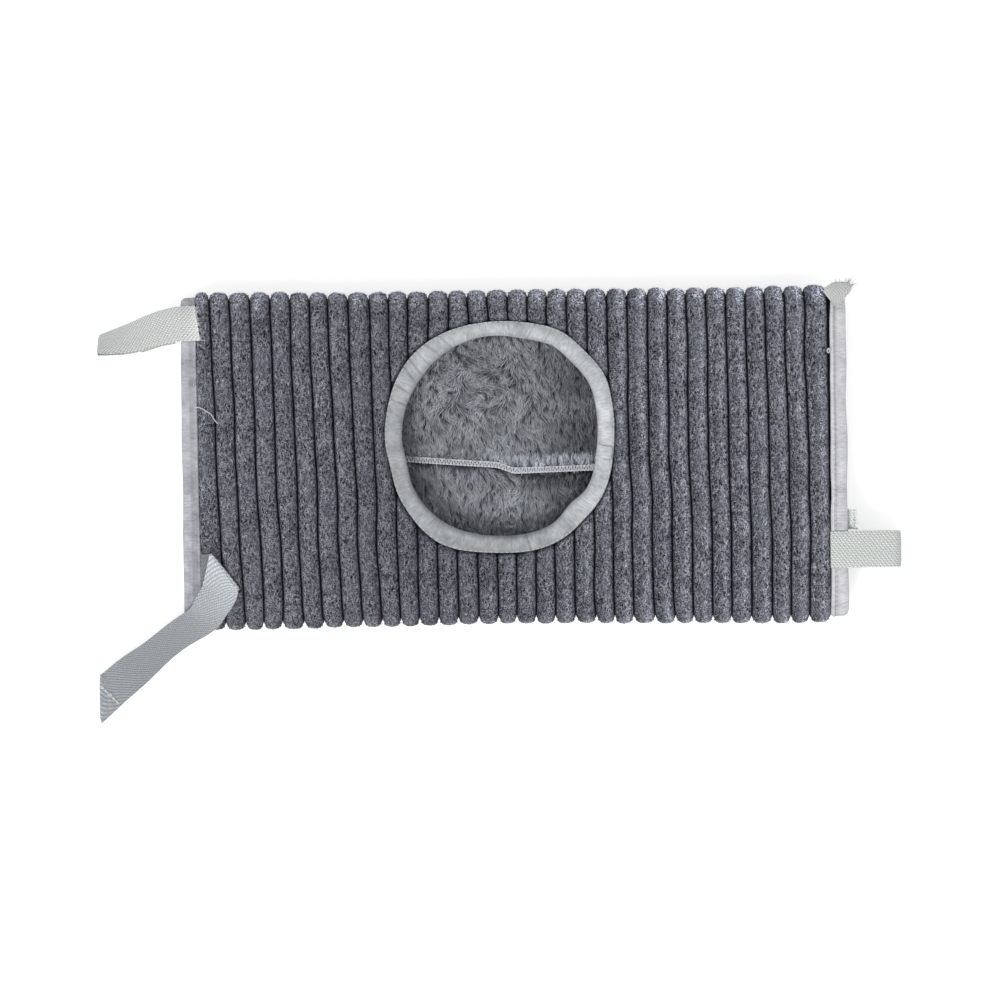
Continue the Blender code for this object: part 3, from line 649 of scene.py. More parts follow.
def applyTree(piece, tree, values):
    step = piece.modifiers.new(tree.name, "NODES")
    step.node_group = tree
    for item in tree.interface.items_tree:
        if item.item_type == "SOCKET" and item.in_out == "INPUT" and item.name in values:
            step[item.identifier] = values[item.name]
    graph = bpy.context.evaluated_depsgraph_get()
    mesh = bpy.data.meshes.new_from_object(piece.evaluated_get(graph))
    piece.modifiers.clear()
    piece.data = mesh
    return piece


strandScatter = 0.17  # how far each strand's heading strays by itself
noSwirl = {"Swirl Centre": (0.0, 0.0, 0.0), "Swirl Reach": 1 * mm, "Swirl Turn": 0.0}


def buildPileTree():
    tree, given = newTree("pile", {
        "Strand": "Object", "Per Square Metre": "Float", "Longest": "Float", "Shortest": "Float",
        "Upright": "Float", "Comb": "Vector", "Wander": "Float", "Wander Size": "Float",
        "Swirl Centre": "Vector", "Swirl Reach": "Float", "Swirl Turn": "Float",
        "Clump": "Float", "Clump Pull": "Float", "Patch": "Float", "Seed": "Int", "Material": "Material",
    })

    seed = given["Seed"]
    share = addNode(tree, "GeometryNodeInputNamedAttribute", {"data_type": "FLOAT"}, {"Name": "pileShare"})
    density = addNode(tree, "ShaderNodeMath", {"operation": "MULTIPLY"},
                      {0: share.outputs["Attribute"], 1: given["Per Square Metre"]})
    spots = addNode(tree, "GeometryNodeDistributePointsOnFaces", {"distribute_method": "RANDOM"},
                    {"Mesh": given["Geometry"], "Density": density, "Seed": seed})
    place = addNode(tree, "GeometryNodeInputPosition")
    # combed one way, straying by a noise, and round in a swirl near its centre
    perWander = addNode(tree, "ShaderNodeMath", {"operation": "DIVIDE"}, {0: 1.0, 1: given["Wander Size"]})
    drift = addNode(tree, "ShaderNodeTexNoise", None, {"Vector": place, "Scale": perWander, "Detail": 1.0})
    strayed = addNode(tree, "ShaderNodeMath", {"operation": "SUBTRACT"}, {0: drift, 1: 0.5})
    fromSwirl = addNode(tree, "ShaderNodeVectorMath", {"operation": "DISTANCE"},
                        {0: place, 1: given["Swirl Centre"]}).outputs["Value"]
    reached = addNode(tree, "ShaderNodeMath", {"operation": "DIVIDE"}, {0: fromSwirl, 1: given["Swirl Reach"]})
    inside = addNode(tree, "ShaderNodeMath", {"operation": "SUBTRACT"}, {0: 1.0, 1: reached})
    inSwirl = addNode(tree, "ShaderNodeMath", {"operation": "MAXIMUM"}, {0: inside, 1: 0.0})
    swirl = addNode(tree, "ShaderNodeMath", {"operation": "MULTIPLY"}, {0: inSwirl, 1: given["Swirl Turn"]})
    stray = addNode(tree, "ShaderNodeMath", {"operation": "ADD"}, {0: given["Wander"], 1: swirl})
    turning = addNode(tree, "ShaderNodeMath", {"operation": "MULTIPLY"}, {0: strayed, 1: stray})
    combed = addNode(tree, "ShaderNodeVectorRotate", {"rotation_type": "Z_AXIS"},
                     {"Vector": given["Comb"], "Angle": turning})
    # drawn together in clumps
    perClump = addNode(tree, "ShaderNodeMath", {"operation": "DIVIDE"}, {0: 1.0, 1: given["Clump"]})
    cell = addNode(tree, "ShaderNodeTexVoronoi", None, {"Vector": place, "Scale": perClump}).outputs["Position"]
    toCell = addNode(tree, "ShaderNodeVectorMath", {"operation": "SUBTRACT"}, {0: cell, 1: place})
    pull = addNode(tree, "ShaderNodeVectorMath", {"operation": "SCALE"}, {0: toCell, "Scale": given["Clump Pull"]})
    raised = addNode(tree, "ShaderNodeVectorMath", {"operation": "SCALE"},
                     {0: spots.outputs["Normal"], "Scale": given["Upright"]})
    scatter = addNode(tree, "FunctionNodeRandomValue", {"data_type": "FLOAT_VECTOR"},
                      {0: (-strandScatter,) * 3, 1: (strandScatter,) * 3, "Seed": seed})
    leaning = addNode(tree, "ShaderNodeVectorMath", {"operation": "ADD"}, {0: raised, 1: combed})
    pulled = addNode(tree, "ShaderNodeVectorMath", {"operation": "ADD"}, {0: pull, 1: scatter})
    heading = addNode(tree, "ShaderNodeVectorMath", {"operation": "ADD"}, {0: leaning, 1: pulled})
    turned = addNode(tree, "FunctionNodeAlignRotationToVector", {"axis": "Z"}, {"Vector": heading})
    spin = addNode(tree, "FunctionNodeRandomValue", {"data_type": "FLOAT_VECTOR"},
                   {0: (0.0, 0.0, 0.0), 1: (0.0, 0.0, 2.0 * math.pi), "Seed": seed})
    spun = addNode(tree, "FunctionNodeRotateRotation", {"rotation_space": "LOCAL"},
                   {"Rotation": turned, "Rotate By": spin})
    length = addNode(tree, "FunctionNodeRandomValue", {"data_type": "FLOAT"},
                     {2: given["Shortest"], 3: given["Longest"], "Seed": seed}).outputs[1]
    strand = addNode(tree, "GeometryNodeObjectInfo", None, {"Object": given["Strand"]}).outputs["Geometry"]
    placed = addNode(tree, "GeometryNodeInstanceOnPoints", None,
                     {"Points": spots, "Instance": strand, "Rotation": spun, "Scale": length})
    # each strand's own tone, lighter and darker in patches
    tone = addNode(tree, "FunctionNodeRandomValue", {"data_type": "FLOAT"}, {"ID": 0, "Seed": seed}).outputs[1]
    perPatch = addNode(tree, "ShaderNodeMath", {"operation": "DIVIDE"}, {0: 1.0, 1: given["Patch"]})
    patch = addNode(tree, "ShaderNodeTexNoise", None, {"Vector": place, "Scale": perPatch, "Detail": 2.0})
    lifted = addNode(tree, "ShaderNodeMath", {"operation": "MULTIPLY"}, {0: patch, 1: 1.9})
    mixed = addNode(tree, "ShaderNodeMath", {"operation": "MULTIPLY"}, {0: tone, 1: lifted})
    marked = addNode(tree, "GeometryNodeStoreNamedAttribute", {"data_type": "FLOAT", "domain": "INSTANCE"},
                     {"Geometry": placed, "Name": "strandShade", "Value": mixed})
    real = addNode(tree, "GeometryNodeRealizeInstances", None, {"Geometry": marked})
    dressed = addNode(tree, "GeometryNodeSetMaterial", None, {"Geometry": real, "Material": given["Material"]})
    addNode(tree, "NodeGroupOutput", None, {"Geometry": dressed})
    return tree


def makeStrand(name, girth, bend, rings):
    # a tapering three-sided strand one unit long, rising along Z and bending aside
    points = []
    tips = []
    for ring in range(rings):
        share = ring / rings
        radius = girth * (1.0 - 0.75 * share)
        for side in range(3):
            turn = 2.0 * math.pi * side / 3.0
            points.append((bend * share * share + radius * math.cos(turn), radius * math.sin(turn), share))
            tips.append(share)
    points.append((bend, 0.0, 1.0))
    tips.append(1.0)
    faces = [(2, 1, 0)]
    for ring in range(rings - 1):
        for side in range(3):
            a = ring * 3 + side
            b = ring * 3 + (side + 1) % 3
            faces.append((a, b, b + 3, a + 3))
    last = (rings - 1) * 3
    faces.extend((last + side, last + (side + 1) % 3, rings * 3) for side in range(3))
    return makePiece(name, points, faces, plush, attributes={"tip": tips})


pileTree = buildPileTree()
nub = makeStrand("nub", 0.3, 0.0, 1)
furStrand = makeStrand("furStrand", 0.05, 0.22, 2)


def growPile(name, places, faces, share, tone, values):
    emitter = makePiece(name, places, faces, plush, attributes={"pileShare": share, "pileTone": tone},
                        closed=False)
    applyTree(emitter, pileTree, values)
    emitter.data.shade_smooth()
    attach(emitter, "tunnel")
    return len(emitter.data.polygons)


plushPile = {
    "topPieces": 4,
    "perPiece": 46000,
    "underPerPiece": 40000,
    "topRound": 0.62,  # how far round a side the top's pile reaches, and the underside's
    "underRound": 0.42,
    "longest": 1.35 * mm,
    "shortest": 0.7 * mm,
    "upright": 0.8,
    "wander": 5.0,
    "sideShade": 0.4,  # how dark the pile is where it dips into a groove
    "farEndPaintedLight": 1.3,  # painted light on the ribs' far ends, where they turn to the light
    "combed": (-0.12, 0.66),  # painted light and shade across each rib, so that one flank is lighter: at the left and at the right
}


def pileOnShell():
    stations, around, places, lift = shellGrid
    topRound, underRound = plushPile["topRound"], plushPile["underRound"]
    top = np.where((around <= flatRun + arcRun * topRound)
                   | (around >= 2.0 * flatRun + arcRun * (2.0 - topRound)))[0]
    top = np.concatenate([top[around[top] > flatRun + arcRun], top[around[top] <= flatRun + arcRun]])
    under = np.where((around > flatRun + arcRun * (1.0 - underRound))
                     & (around < 2.0 * flatRun + arcRun * (1.0 + underRound)))[0]
    radius = ringDistance(places[..., 0], places[..., 1])
    clear = smooth((radius - entrance["radius"] - entrance["tapeWidth"] + 0.9 * mm) / (0.9 * mm))
    raised = smooth((lift - 0.69) / 0.24)
    # painted shade down the sides of each rib, painted light on one flank and at the far ends, carried by the
    # pileTone attribute
    tone = plushPile["sideShade"] + (1.0 - plushPile["sideShade"]) * smooth((lift - 0.66) / 0.34)
    flank = np.tanh((stations[:, 2][:, None] - 0.5) / 0.2)
    lean = np.interp(places[..., 0], (leftEnd + 0.32 * tunnelLength, leftEnd + 0.72 * tunnelLength),
                     plushPile["combed"])
    tone = tone * np.exp(lean * flank) * (1.0 + 0.3 * np.maximum(lean, 0.0))
    farEnd = smooth((places[..., 1] - shellHigh.y + 14 * mm) / (10 * mm)) * (places[..., 2] > sideRound)
    tone = tone * (1.0 + plushPile["farEndPaintedLight"] * farEnd)
    offFloor = smooth((places[..., 2] - 1.3 * mm) / (1.2 * mm))
    ribs = (len(stations) - 2) // ribbedPlush["acrossRib"]
    cuts = [round(ribs * part / plushPile["topPieces"]) * ribbedPlush["acrossRib"]
            for part in range(plushPile["topPieces"])] + [len(stations) - 1]
    values = {**noSwirl, "Strand": nub, "Longest": plushPile["longest"], "Shortest": plushPile["shortest"],
              "Upright": plushPile["upright"], "Comb": (0.0, -0.7, 0.0), "Wander": plushPile["wander"],
              "Wander Size": 5 * mm, "Clump": 1.5 * mm, "Clump Pull": 420.0, "Patch": 1.3 * mm,
              "Material": plushTuft}

    def patch(name, rows, columns, share, count, seed):
        part = places[np.ix_(rows, columns)]
        faces = gridFaces(len(rows), len(columns), False, False)[:, ::-1]
        weight = share[np.ix_(rows, columns)]
        acrossSide = np.linalg.norm(part[1:, :-1] - part[:-1, :-1], axis=-1)
        alongSide = np.linalg.norm(part[:-1, 1:] - part[:-1, :-1], axis=-1)
        area = float((acrossSide * alongSide * weight[:-1, :-1]).sum())
        values["Per Square Metre"] = count / area
        values["Seed"] = seed
        shade = tone[np.ix_(rows, columns)]
        print(name, growPile(name, part, faces, weight, shade, values))

    for part, (start, end) in enumerate(zip(cuts, cuts[1:])):
        rows = np.arange(start, end + 1)
        onTop = raised * np.where(places[..., 2] > sideRound, clear, 1.0)
        patch(f"shellPileTop{part + 1}", rows, top, onTop, plushPile["perPiece"], 11 + part)
    patch("shellPileUnder", np.arange(len(stations)), under, raised * offFloor, plushPile["underPerPiece"], 31)


pileOnShell()
print("pile grown on the shell")


# The plush lining

lining = {
    "alongStep": 6 * mm,
    "topStep": 4 * mm,
    "underStep": 4 * mm,
    "floorFur": 20000,  # strands in each half of what the entrance shows
    "restFur": 17000,
    "floorLength": 7.5 * mm,
    "restLength": 7 * mm,
    "unevenness": 0.7 * mm,
    # the seam's line across what the entrance shows, in mm: level, then a small step towards the viewer
    "seamAlong": (-170.0, -52.0, 0.0, 9.0, 52.0, 190.0),
    "seamAcross": (27.0, 24.6, 20.6, 17.2, 18.4, 15.5),
}


def liningPlaces(stations, around, inset):
    u = stations[:, None]
    y, z = sectionPlace(around[None, :] + 0.0 * u, inset)
    return tunnelPlace(u, y, z)


def makeLining():
    around = roundSection(lining["topStep"], lining["topStep"], lining["underStep"])
    stations = np.linspace(tunnel["rim"], tunnelLength - tunnel["rim"], int(tunnelLength / lining["alongStep"]))
    outer = liningPlaces(stations, around, tunnel["liningStart"])
    inner = liningPlaces(stations[::-1], around, tunnel["wallInner"])
    edge = stations[::-1]
    atRim = (edge < bindingWidth + 2 * mm) | (edge > tunnelLength - bindingWidth - 2 * mm)
    inner[atRim] = liningPlaces(edge[atRim], around, tunnel["wallInner"] - 1.4 * mm)
    points = np.concatenate([outer, inner])
    faces = gridFaces(len(points), len(around), True, True)
    tip = np.ones(len(points) * len(around)) * 0.4
    piece = makePiece("liningCloth", points, faces, liningBase,
                      attributes={"tip": tip, "strandShade": tip * 0.0, "pileTone": tip / tip})
    cutEntrance(piece)
    piece.data.shade_smooth()
    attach(piece, "tunnel")
    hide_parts("plush_lining")


def seamLine(x):
    return np.interp(x, np.array(lining["seamAlong"]) * mm, np.array(lining["seamAcross"]) * mm)


furShade = {
    "patch": 0.16,  # where the pile is brushed aside
    "patchSize": 11 * mm,
    "left": 0.2,  # in the shade of the entrance's left and of its right edge
    "right": 0.44,
    "near": 0.3,  # painted light at the near side
    "seam": 0.45,  # in the shade below the seam
}


def furTone(places):
    # the fur's tone: darker where it is brushed aside, painted shade at the entrance's edges and below the seam,
    # painted light at the near side
    broad = softNoise(places, furShade["patchSize"], 21.0) * furShade["patch"]
    side = (places[..., 0] - holeX) / entrance["radius"]
    near = smooth((holeY - 20 * mm - places[..., 1]) / (30 * mm))
    below = (places[..., 1] - seamLine(places[..., 0]) + 4.5 * mm) / (3 * mm)
    shadow = furShade["seam"] * np.exp(-below ** 2) * smooth((places[..., 0] - holeX) / (20 * mm))
    edges = 1.0 + broad - furShade["left"] * smooth((-side - 0.6) / 0.4)
    edges = edges - furShade["right"] * smooth((side - 0.1) / 0.75)
    return edges * (1.0 + furShade["near"] * near) * (1.0 - shadow)


def furOnLining():
    floorLevel = tunnel["wallInner"] - tunnel["floorFlat"]
    reach = entrance["radius"] + 4 * mm
    step = 1.5 * mm
    across = np.arange(-reach, reach + step / 2, step)
    values = {"Strand": furStrand, "Longest": lining["floorLength"], "Shortest": 0.55 * lining["floorLength"],
              "Upright": 0.36, "Comb": (0.08, -1.0, 0.0), "Wander": 3.4, "Wander Size": 10 * mm,
              "Swirl Centre": (holeX - 15 * mm, holeY + 34 * mm, floorLevel), "Swirl Reach": 30 * mm,
              "Swirl Turn": 12.0, "Clump": 3.0 * mm, "Clump Pull": 190.0, "Patch": 3.4 * mm, "Material": liningFur}
    for half, rows in (("Left", across[across <= step / 2]), ("Right", across[across >= -step / 2])):
        x = holeX + rows[:, None]
        y = holeY + across[None, :]
        places = stack(x + 0.0 * y, y + 0.0 * x, floorLevel + 0.0 * x * y)
        bumps = softNoise(places, 16 * mm, 3.0) * lining["unevenness"]
        places[..., 2] = places[..., 2] + bumps
        radius = ringDistance(places[..., 0], places[..., 1])
        share = (radius < reach) * 1.0
        aboveSeam = places[..., 1] - seamLine(places[..., 0])
        share = share * ((aboveSeam < -2.2 * mm) | (aboveSeam > 6.5 * mm))
        area = float(share.sum()) * step * step
        values["Per Square Metre"] = lining["floorFur"] / area
        values["Seed"] = 51 if half == "Left" else 52
        faces = gridFaces(len(rows), len(across), False, False)[:, ::-1]
        print("liningFur" + half, growPile("liningFur" + half, places, faces, share, furTone(places),
                                          values))
    around = roundSection(lining["topStep"], lining["topStep"], lining["underStep"])
    stations = np.linspace(bindingWidth, tunnelLength - bindingWidth, 70)
    places = liningPlaces(stations, around, tunnel["wallInner"])
    radius = ringDistance(places[..., 0], places[..., 1])
    share = (radius > entrance["radius"] + 3 * mm) * 1.0
    values.update({"Per Square Metre": lining["restFur"] / 0.11, "Longest": lining["restLength"],
                   "Shortest": 0.6 * lining["restLength"], "Seed": 61, "Swirl Turn": 0.0})
    faces = gridFaces(len(stations), len(around), False, True)
    print("liningFurRest", growPile("liningFurRest", places, faces, share, 1.0 + 0.0 * share, values))


makeLining()
furOnLining()
print("lining made")


# The tape round the entrance and round the mouths

ringTapeShape = {
    "puff": 1.7 * mm,
    # where the tape was tucked as it was sewn round: turn in degrees and how deep, as a share
    "pleats": ((118, 0.6), (126, 0.9), (134, 0.7), (141, 1.0), (147, 0.8), (154, 1.0), (161, 0.9), (169, 0.6),
               (108, 0.4), (96, 0.35), (84, 0.5), (74, 0.6), (64, 0.5), (40, 0.3), (20, 0.25), (6, 0.3),
               (338, 0.35), (322, 0.3), (306, 0.4), (292, 0.5), (284, 0.9), (276, 0.4), (262, 0.35), (248, 0.4),
               (234, 0.35), (222, 0.5), (208, 0.4), (196, 0.3), (184, 0.3)),
    "pleatDepth": 0.9 * mm,
    "pleatWidth": 1.1 * mm,
    "pleatShade": 0.34,
    "widthChange": 0.3 * mm,
    "crumple": 0.5 * mm,
    # painted light and shade round the ring: turn in degrees and tone
    "paintedLightAndTone": ((0, 40, 90, 140, 180, 225, 270, 310, 360), (1.42, 1.15, 1.1, 1.0, 0.9, 0.82, 0.78, 1.0, 1.42)),
}


def tapeProfile(width, outerLevel, innerLevel, thickness, puff, steps):
    # a folded tape in section, as distance from the bound edge and depth below the crests
    share = np.linspace(1.0, 0.0, steps)
    crown = puff * np.sin(np.pi * np.clip(share, 0.0, 1.0)) ** 0.6
    fold = 0.8 * mm * (1.0 - smooth(share * width / (1.6 * mm)))
    profile = [(width * s, outerLevel - c + f) for s, c, f in zip(share, crown, fold)]
    middle = (outerLevel + innerLevel) / 2
    for part in (0.25, 0.5, 0.75):
        depth = outerLevel + 0.8 * mm + (innerLevel - outerLevel - 1.6 * mm) * part
        profile.append((-0.5 * mm * math.sin(math.pi * part), depth))
    profile.extend((width * s, innerLevel + 0.5 * c - f) for s, c, f in
                   zip(share[::-2], crown[::-2], fold[::-2]))
    if profile[-1][0] < width:
        profile.append((width, innerLevel))
    profile.extend([(width, innerLevel - thickness), (thickness, innerLevel - thickness),
                    (thickness, middle), (thickness, outerLevel + thickness),
                    (width, outerLevel + thickness)])
    return np.array(profile)


def spreadPleats(count, seed, length):
    source = np.random.default_rng(seed)
    places = np.sort(source.random(count)) * length
    return places, source.random(count), source.random(count) * 2.0 - 1.0


def pleatDepthAt(distance, across, length, pleats, width):
    # how far each place on a tape is pressed in by the creases near it, which run a little askew
    places, depths, skews = pleats
    total = np.zeros(np.broadcast(distance, across).shape)
    for place, depth, skew in zip(places, depths, skews):
        away = distance - place - skew * across * 0.5
        away = (away + length / 2) % length - length / 2
        total = total + depth * np.exp(-(away / (width / 2)) ** 2)
    return total


def makeRing():
    steps = 560
    turn = np.linspace(0.0, 2.0 * math.pi, steps, endpoint=False)[:, None]
    profile = tapeProfile(entrance["tapeWidth"], entrance["tapeLevel"], tunnel["wallInner"],
                          entrance["tapeThickness"], ringTapeShape["puff"], 12)
    distance = profile[:, 0][None, :] + 0.0 * turn
    depth = profile[:, 1][None, :] + 0.0 * turn
    length = 2.0 * math.pi * (entrance["radius"] + entrance["tapeWidth"] / 2)
    along = turn / (2.0 * math.pi) * length
    turns, depths = np.array(ringTapeShape["pleats"]).T
    pleats = (turns / 360.0 * length, depths, np.random.default_rng(5).random(len(turns)) * 2.0 - 1.0)
    onTop = (np.arange(len(profile)) < 12)[None, :]
    circle = stack(np.cos(turn) + 0.0 * distance, np.sin(turn) + 0.0 * distance, distance * 25.0)
    widen = 1.0 + ringTapeShape["widthChange"] / entrance["tapeWidth"] * softNoise(circle, 0.35)
    distance = distance * widen
    crease = pleatDepthAt(along, distance, length, pleats, ringTapeShape["pleatWidth"])
    shaped = np.sin(np.pi * np.clip(distance / entrance["tapeWidth"], 0.05, 0.95))
    crumple = softNoise(circle, 0.16, 2.0) + 0.6 * softNoise(circle, 0.06, 8.0)
    depth = depth + onTop * (ringTapeShape["pleatDepth"] * crease * (0.4 + 0.6 * shaped)
                             + ringTapeShape["crumple"] * crumple)
    radius = entrance["radius"] + distance + ringPull(turn, distance)
    points = ringPlace(radius, turn, crestTop - depth)
    rim = smooth((distance / entrance["tapeWidth"] - 0.84) / 0.08)
    patches = softNoise(circle, 0.11, 12.0) * 0.05 + softNoise(circle, 0.4, 15.0) * 0.05
    # painted shade in the pleats' creases, random patches, a lighter outer rim, and painted light and shade by turn
    # round the ring
    shade = (1.0 - ringTapeShape["pleatShade"] * np.minimum(crease, 1.0) + patches) * (1.0 + 0.12 * rim)
    shade = shade * np.interp(np.degrees(turn), *ringTapeShape["paintedLightAndTone"])
    piece = makePiece("entranceTape", points, gridFaces(steps, len(profile), True, True), ringTape,
                      attributes={"clothShade": shade}, uv=stack(along + 0.0 * distance, distance))
    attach(piece, "tunnel")
    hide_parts("hole_binding")
    return points[:, :12]


ringTop = makeRing()


ringJoin = {
    "turn": math.radians(-9.0),
    "half": 0.062,  # half its width, bow and slant, as turns round the entrance in radians
    "bow": 0.05,
    "slant": 0.012,
    "start": 0.02,  # across the tape, as shares of its width
    "reach": 0.93,
    "cloth": 0.4 * mm,
    "lift": 0.25 * mm,
    "edgeLift": 0.45 * mm,
}


def makeRingJoin():
    # the lapped end of the tape, turned under, at the right of the entrance
    rows = np.linspace(-1.0, 1.0, 15)
    columns = np.linspace(0.0, 1.0, 11)
    turn = ringJoin["turn"] + ringJoin["half"] * rows[:, None] + ringJoin["bow"] * (columns[None, :] - 0.5) ** 2
    turn = turn - ringJoin["slant"] * columns[None, :]
    distance = (ringJoin["start"] + ringJoin["reach"] * columns[None, :]) * entrance["tapeWidth"] + 0.0 * turn
    crown = ringTapeShape["puff"] * np.sin(np.pi * np.clip(columns, 0.0, 1.0)) ** 0.6
    edge = np.minimum(1.0 - np.abs(rows[:, None]) ** 6, 1.0)
    level = crestTop - entrance["tapeLevel"] + crown[None, :] + ringJoin["lift"] + ringJoin["edgeLift"] * edge
    radius = entrance["radius"] + distance + ringPull(turn, distance)
    top = ringPlace(radius, turn, level)
    low = ringPlace(radius, turn, level - ringJoin["cloth"])
    count = len(rows) * len(columns)
    points = np.concatenate([top.reshape(-1, 3), low.reshape(-1, 3)])
    faces = [tuple(face) for face in gridFaces(len(rows), len(columns), False, False)]
    faces.extend([tuple(np.array(face[::-1]) + count) for face in faces])
    rim = [r * len(columns) for r in range(len(rows))]
    rim += [(len(rows) - 1) * len(columns) + c for c in range(1, len(columns))]
    rim += [r * len(columns) + len(columns) - 1 for r in range(len(rows) - 2, -1, -1)]
    rim += [c for c in range(len(columns) - 2, 0, -1)]
    for a, b in zip(rim, rim[1:] + rim[:1]):
        faces.append((a, b, b + count, a + count))
    cloth = stack(turn * entrance["radius"], distance).reshape(-1, 2)
    # painted shade at the lap's two ends, where it drops
    shade = (0.95 + 0.45 * np.minimum(edge * 2.0, 1.0) + 0.0 * distance).ravel()
    piece = makePiece("entranceTapeLap", points, faces, ringTape, attributes={
        "clothShade": np.concatenate([shade, shade])}, uv=np.concatenate([cloth, cloth]))
    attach(piece, "tunnel")
    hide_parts("hole_binding_join")


makeRingJoin()

mouthTape = {
    "puff": 0.5 * mm,
    "wave": 0.5 * mm,
    "pleats": 26,
    "pleatDepth": 0.45 * mm,
    "pleatWidth": 2.0 * mm,
    "leftInner": (9.9 * mm, 8.0 * mm),  # how wide each is, on the near and the far side
    "rightInner": (9.4 * mm, 7.6 * mm),
    "innerWave": 0.6 * mm,
    "ridge": 0.6 * mm,  # the folded edge that stands up beside the ribs
    # painted light and shade of each tape's folds, from the mouth inwards, as shares of its width
    "leftTone": ((0.0, 0.42, 0.48, 0.56, 0.76, 0.86, 1.0), (1.12, 1.08, 0.82, 0.9, 0.84, 1.12, 0.92)),
    "rightTone": ((0.0, 0.5, 0.62, 0.7, 0.78, 0.84, 0.95, 1.0), (1.02, 0.97, 0.86, 0.58, 0.8, 1.15, 1.15, 0.9)),
}


def makeMouth(side, fromRight, material, seed):
    around = roundSection(1.6 * mm, 1.6 * mm, 3.0 * mm)
    profile = tapeProfile(bindingWidth, entrance["tapeLevel"], tunnel["wallInner"],
                          entrance["tapeThickness"], mouthTape["puff"], 21)
    w = around[:, None]
    distance = profile[:, 0][None, :] + 0.0 * w
    wave = mouthTape["wave"] * softNoise(stack(seed + 0.0 * distance, *roundTrip(w, 22 * mm)), 1.0)
    crease = pleatDepthAt(w, distance, girth, spreadPleats(mouthTape["pleats"], seed, girth),
                          mouthTape["pleatWidth"])
    outer = (np.arange(len(profile)) < 21)[None, :]
    share = distance / bindingWidth
    ridge = mouthTape["ridge"] * np.exp(-((share - 0.84) / 0.08) ** 2)
    inset = profile[:, 1][None, :] + 0.0 * w + outer * (mouthTape["pleatDepth"] * crease - ridge)
    y = sectionPlace(w, inset)[0]
    wide = np.interp(y, (-tunnelWidth / 2, tunnelWidth / 2), mouthTape[side + "Inner"])
    ripple = mouthTape["innerWave"] * softNoise(stack(seed + 0.5 + 0.0 * distance, *roundTrip(w, 14 * mm)), 1.0)
    slack = distance * (wide + ripple) / bindingWidth + wave * (1.0 - distance / bindingWidth)
    u = tunnelLength - slack if fromRight else slack
    y, z = sectionPlace(w + 0.0 * distance, inset)
    points = tunnelPlace(u, y, z)
    # painted light and shade of the folds, and painted shade in the pleats' creases
    shade = np.interp(share, *mouthTape[side + "Tone"]) * (1.0 - 0.2 * np.minimum(crease, 1.0))
    piece = makePiece(side + "MouthTape", points, gridFaces(len(around), len(profile), True, True), material,
                      attributes={"clothShade": shade}, uv=stack(w + 0.0 * distance, distance))
    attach(piece, "tunnel")
    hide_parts(side + "_end_binding")


makeMouth("left", False, tapeGrey, 3)
makeMouth("right", True, tapePale, 4)
print("tapes made")


# Stitches, set along a line by one tree

def buildStitchTree():
    tree, given = newTree("stitches", {
        "Stitch": "Object", "Pitch": "Float", "Size": "Vector", "Material": "Material",
    })
    line = addNode(tree, "GeometryNodeMeshToCurve", None, {"Mesh": given["Geometry"]})
    spaced = addNode(tree, "GeometryNodeResampleCurve", {"mode": "LENGTH"}, {"Curve": line, "Length": given["Pitch"]})
    tangent = addNode(tree, "GeometryNodeInputTangent")
    turned = addNode(tree, "FunctionNodeAlignRotationToVector", {"axis": "X"}, {"Vector": tangent})
    stitch = addNode(tree, "GeometryNodeObjectInfo", None, {"Object": given["Stitch"]}).outputs["Geometry"]
    placed = addNode(tree, "GeometryNodeInstanceOnPoints", None,
                     {"Points": spaced, "Instance": stitch, "Rotation": turned, "Scale": given["Size"]})
    real = addNode(tree, "GeometryNodeRealizeInstances", None, {"Geometry": placed})
    dressed = addNode(tree, "GeometryNodeSetMaterial", None, {"Geometry": real, "Material": given["Material"]})
    addNode(tree, "NodeGroupOutput", None, {"Geometry": dressed})
    return tree


def makeStitchShape():
    # a thread that rises out of the cloth and goes back in, one unit long, with six sides
    points = []
    rows = 7
    for row in range(rows):
        share = row / (rows - 1)
        radius = 0.5 * math.sin(math.pi * (0.08 + 0.84 * share)) ** 0.5
        for side in range(6):
            turn = 2.0 * math.pi * side / 6
            points.append((share - 0.5, radius * math.cos(turn), radius * math.sin(turn)))
    return makePiece("stitchShape", points, tubeFaces(rows, 6), threadGrey)


stitchTree = buildStitchTree()
stitchShape = makeStitchShape()


def stitchAlong(name, line, closed, pitch, length, girth, material, node, body="tunnel"):
    count = len(line)
    mesh = bpy.data.meshes.new(name)
    edges = [(i, (i + 1) % count) for i in range(count if closed else count - 1)]
    mesh.from_pydata([tuple(point) for point in line], edges, [])
    piece = bpy.data.objects.new(name, mesh)
    bpy.context.scene.collection.objects.link(piece)
    applyTree(piece, stitchTree, {"Stitch": stitchShape, "Pitch": pitch, "Size": (length, girth, girth),
                                  "Material": material})
    piece.data.shade_smooth()
    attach(piece, body)
    if node:
        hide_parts(node)
    return piece


ringStitch = {"pitch": 2.9 * mm, "length": 2.3 * mm, "girth": 0.5 * mm}
mouthStitch = {"fromEdge": 1.3 * mm, "pitch": 2.8 * mm, "length": 2.1 * mm, "girth": 0.55 * mm}


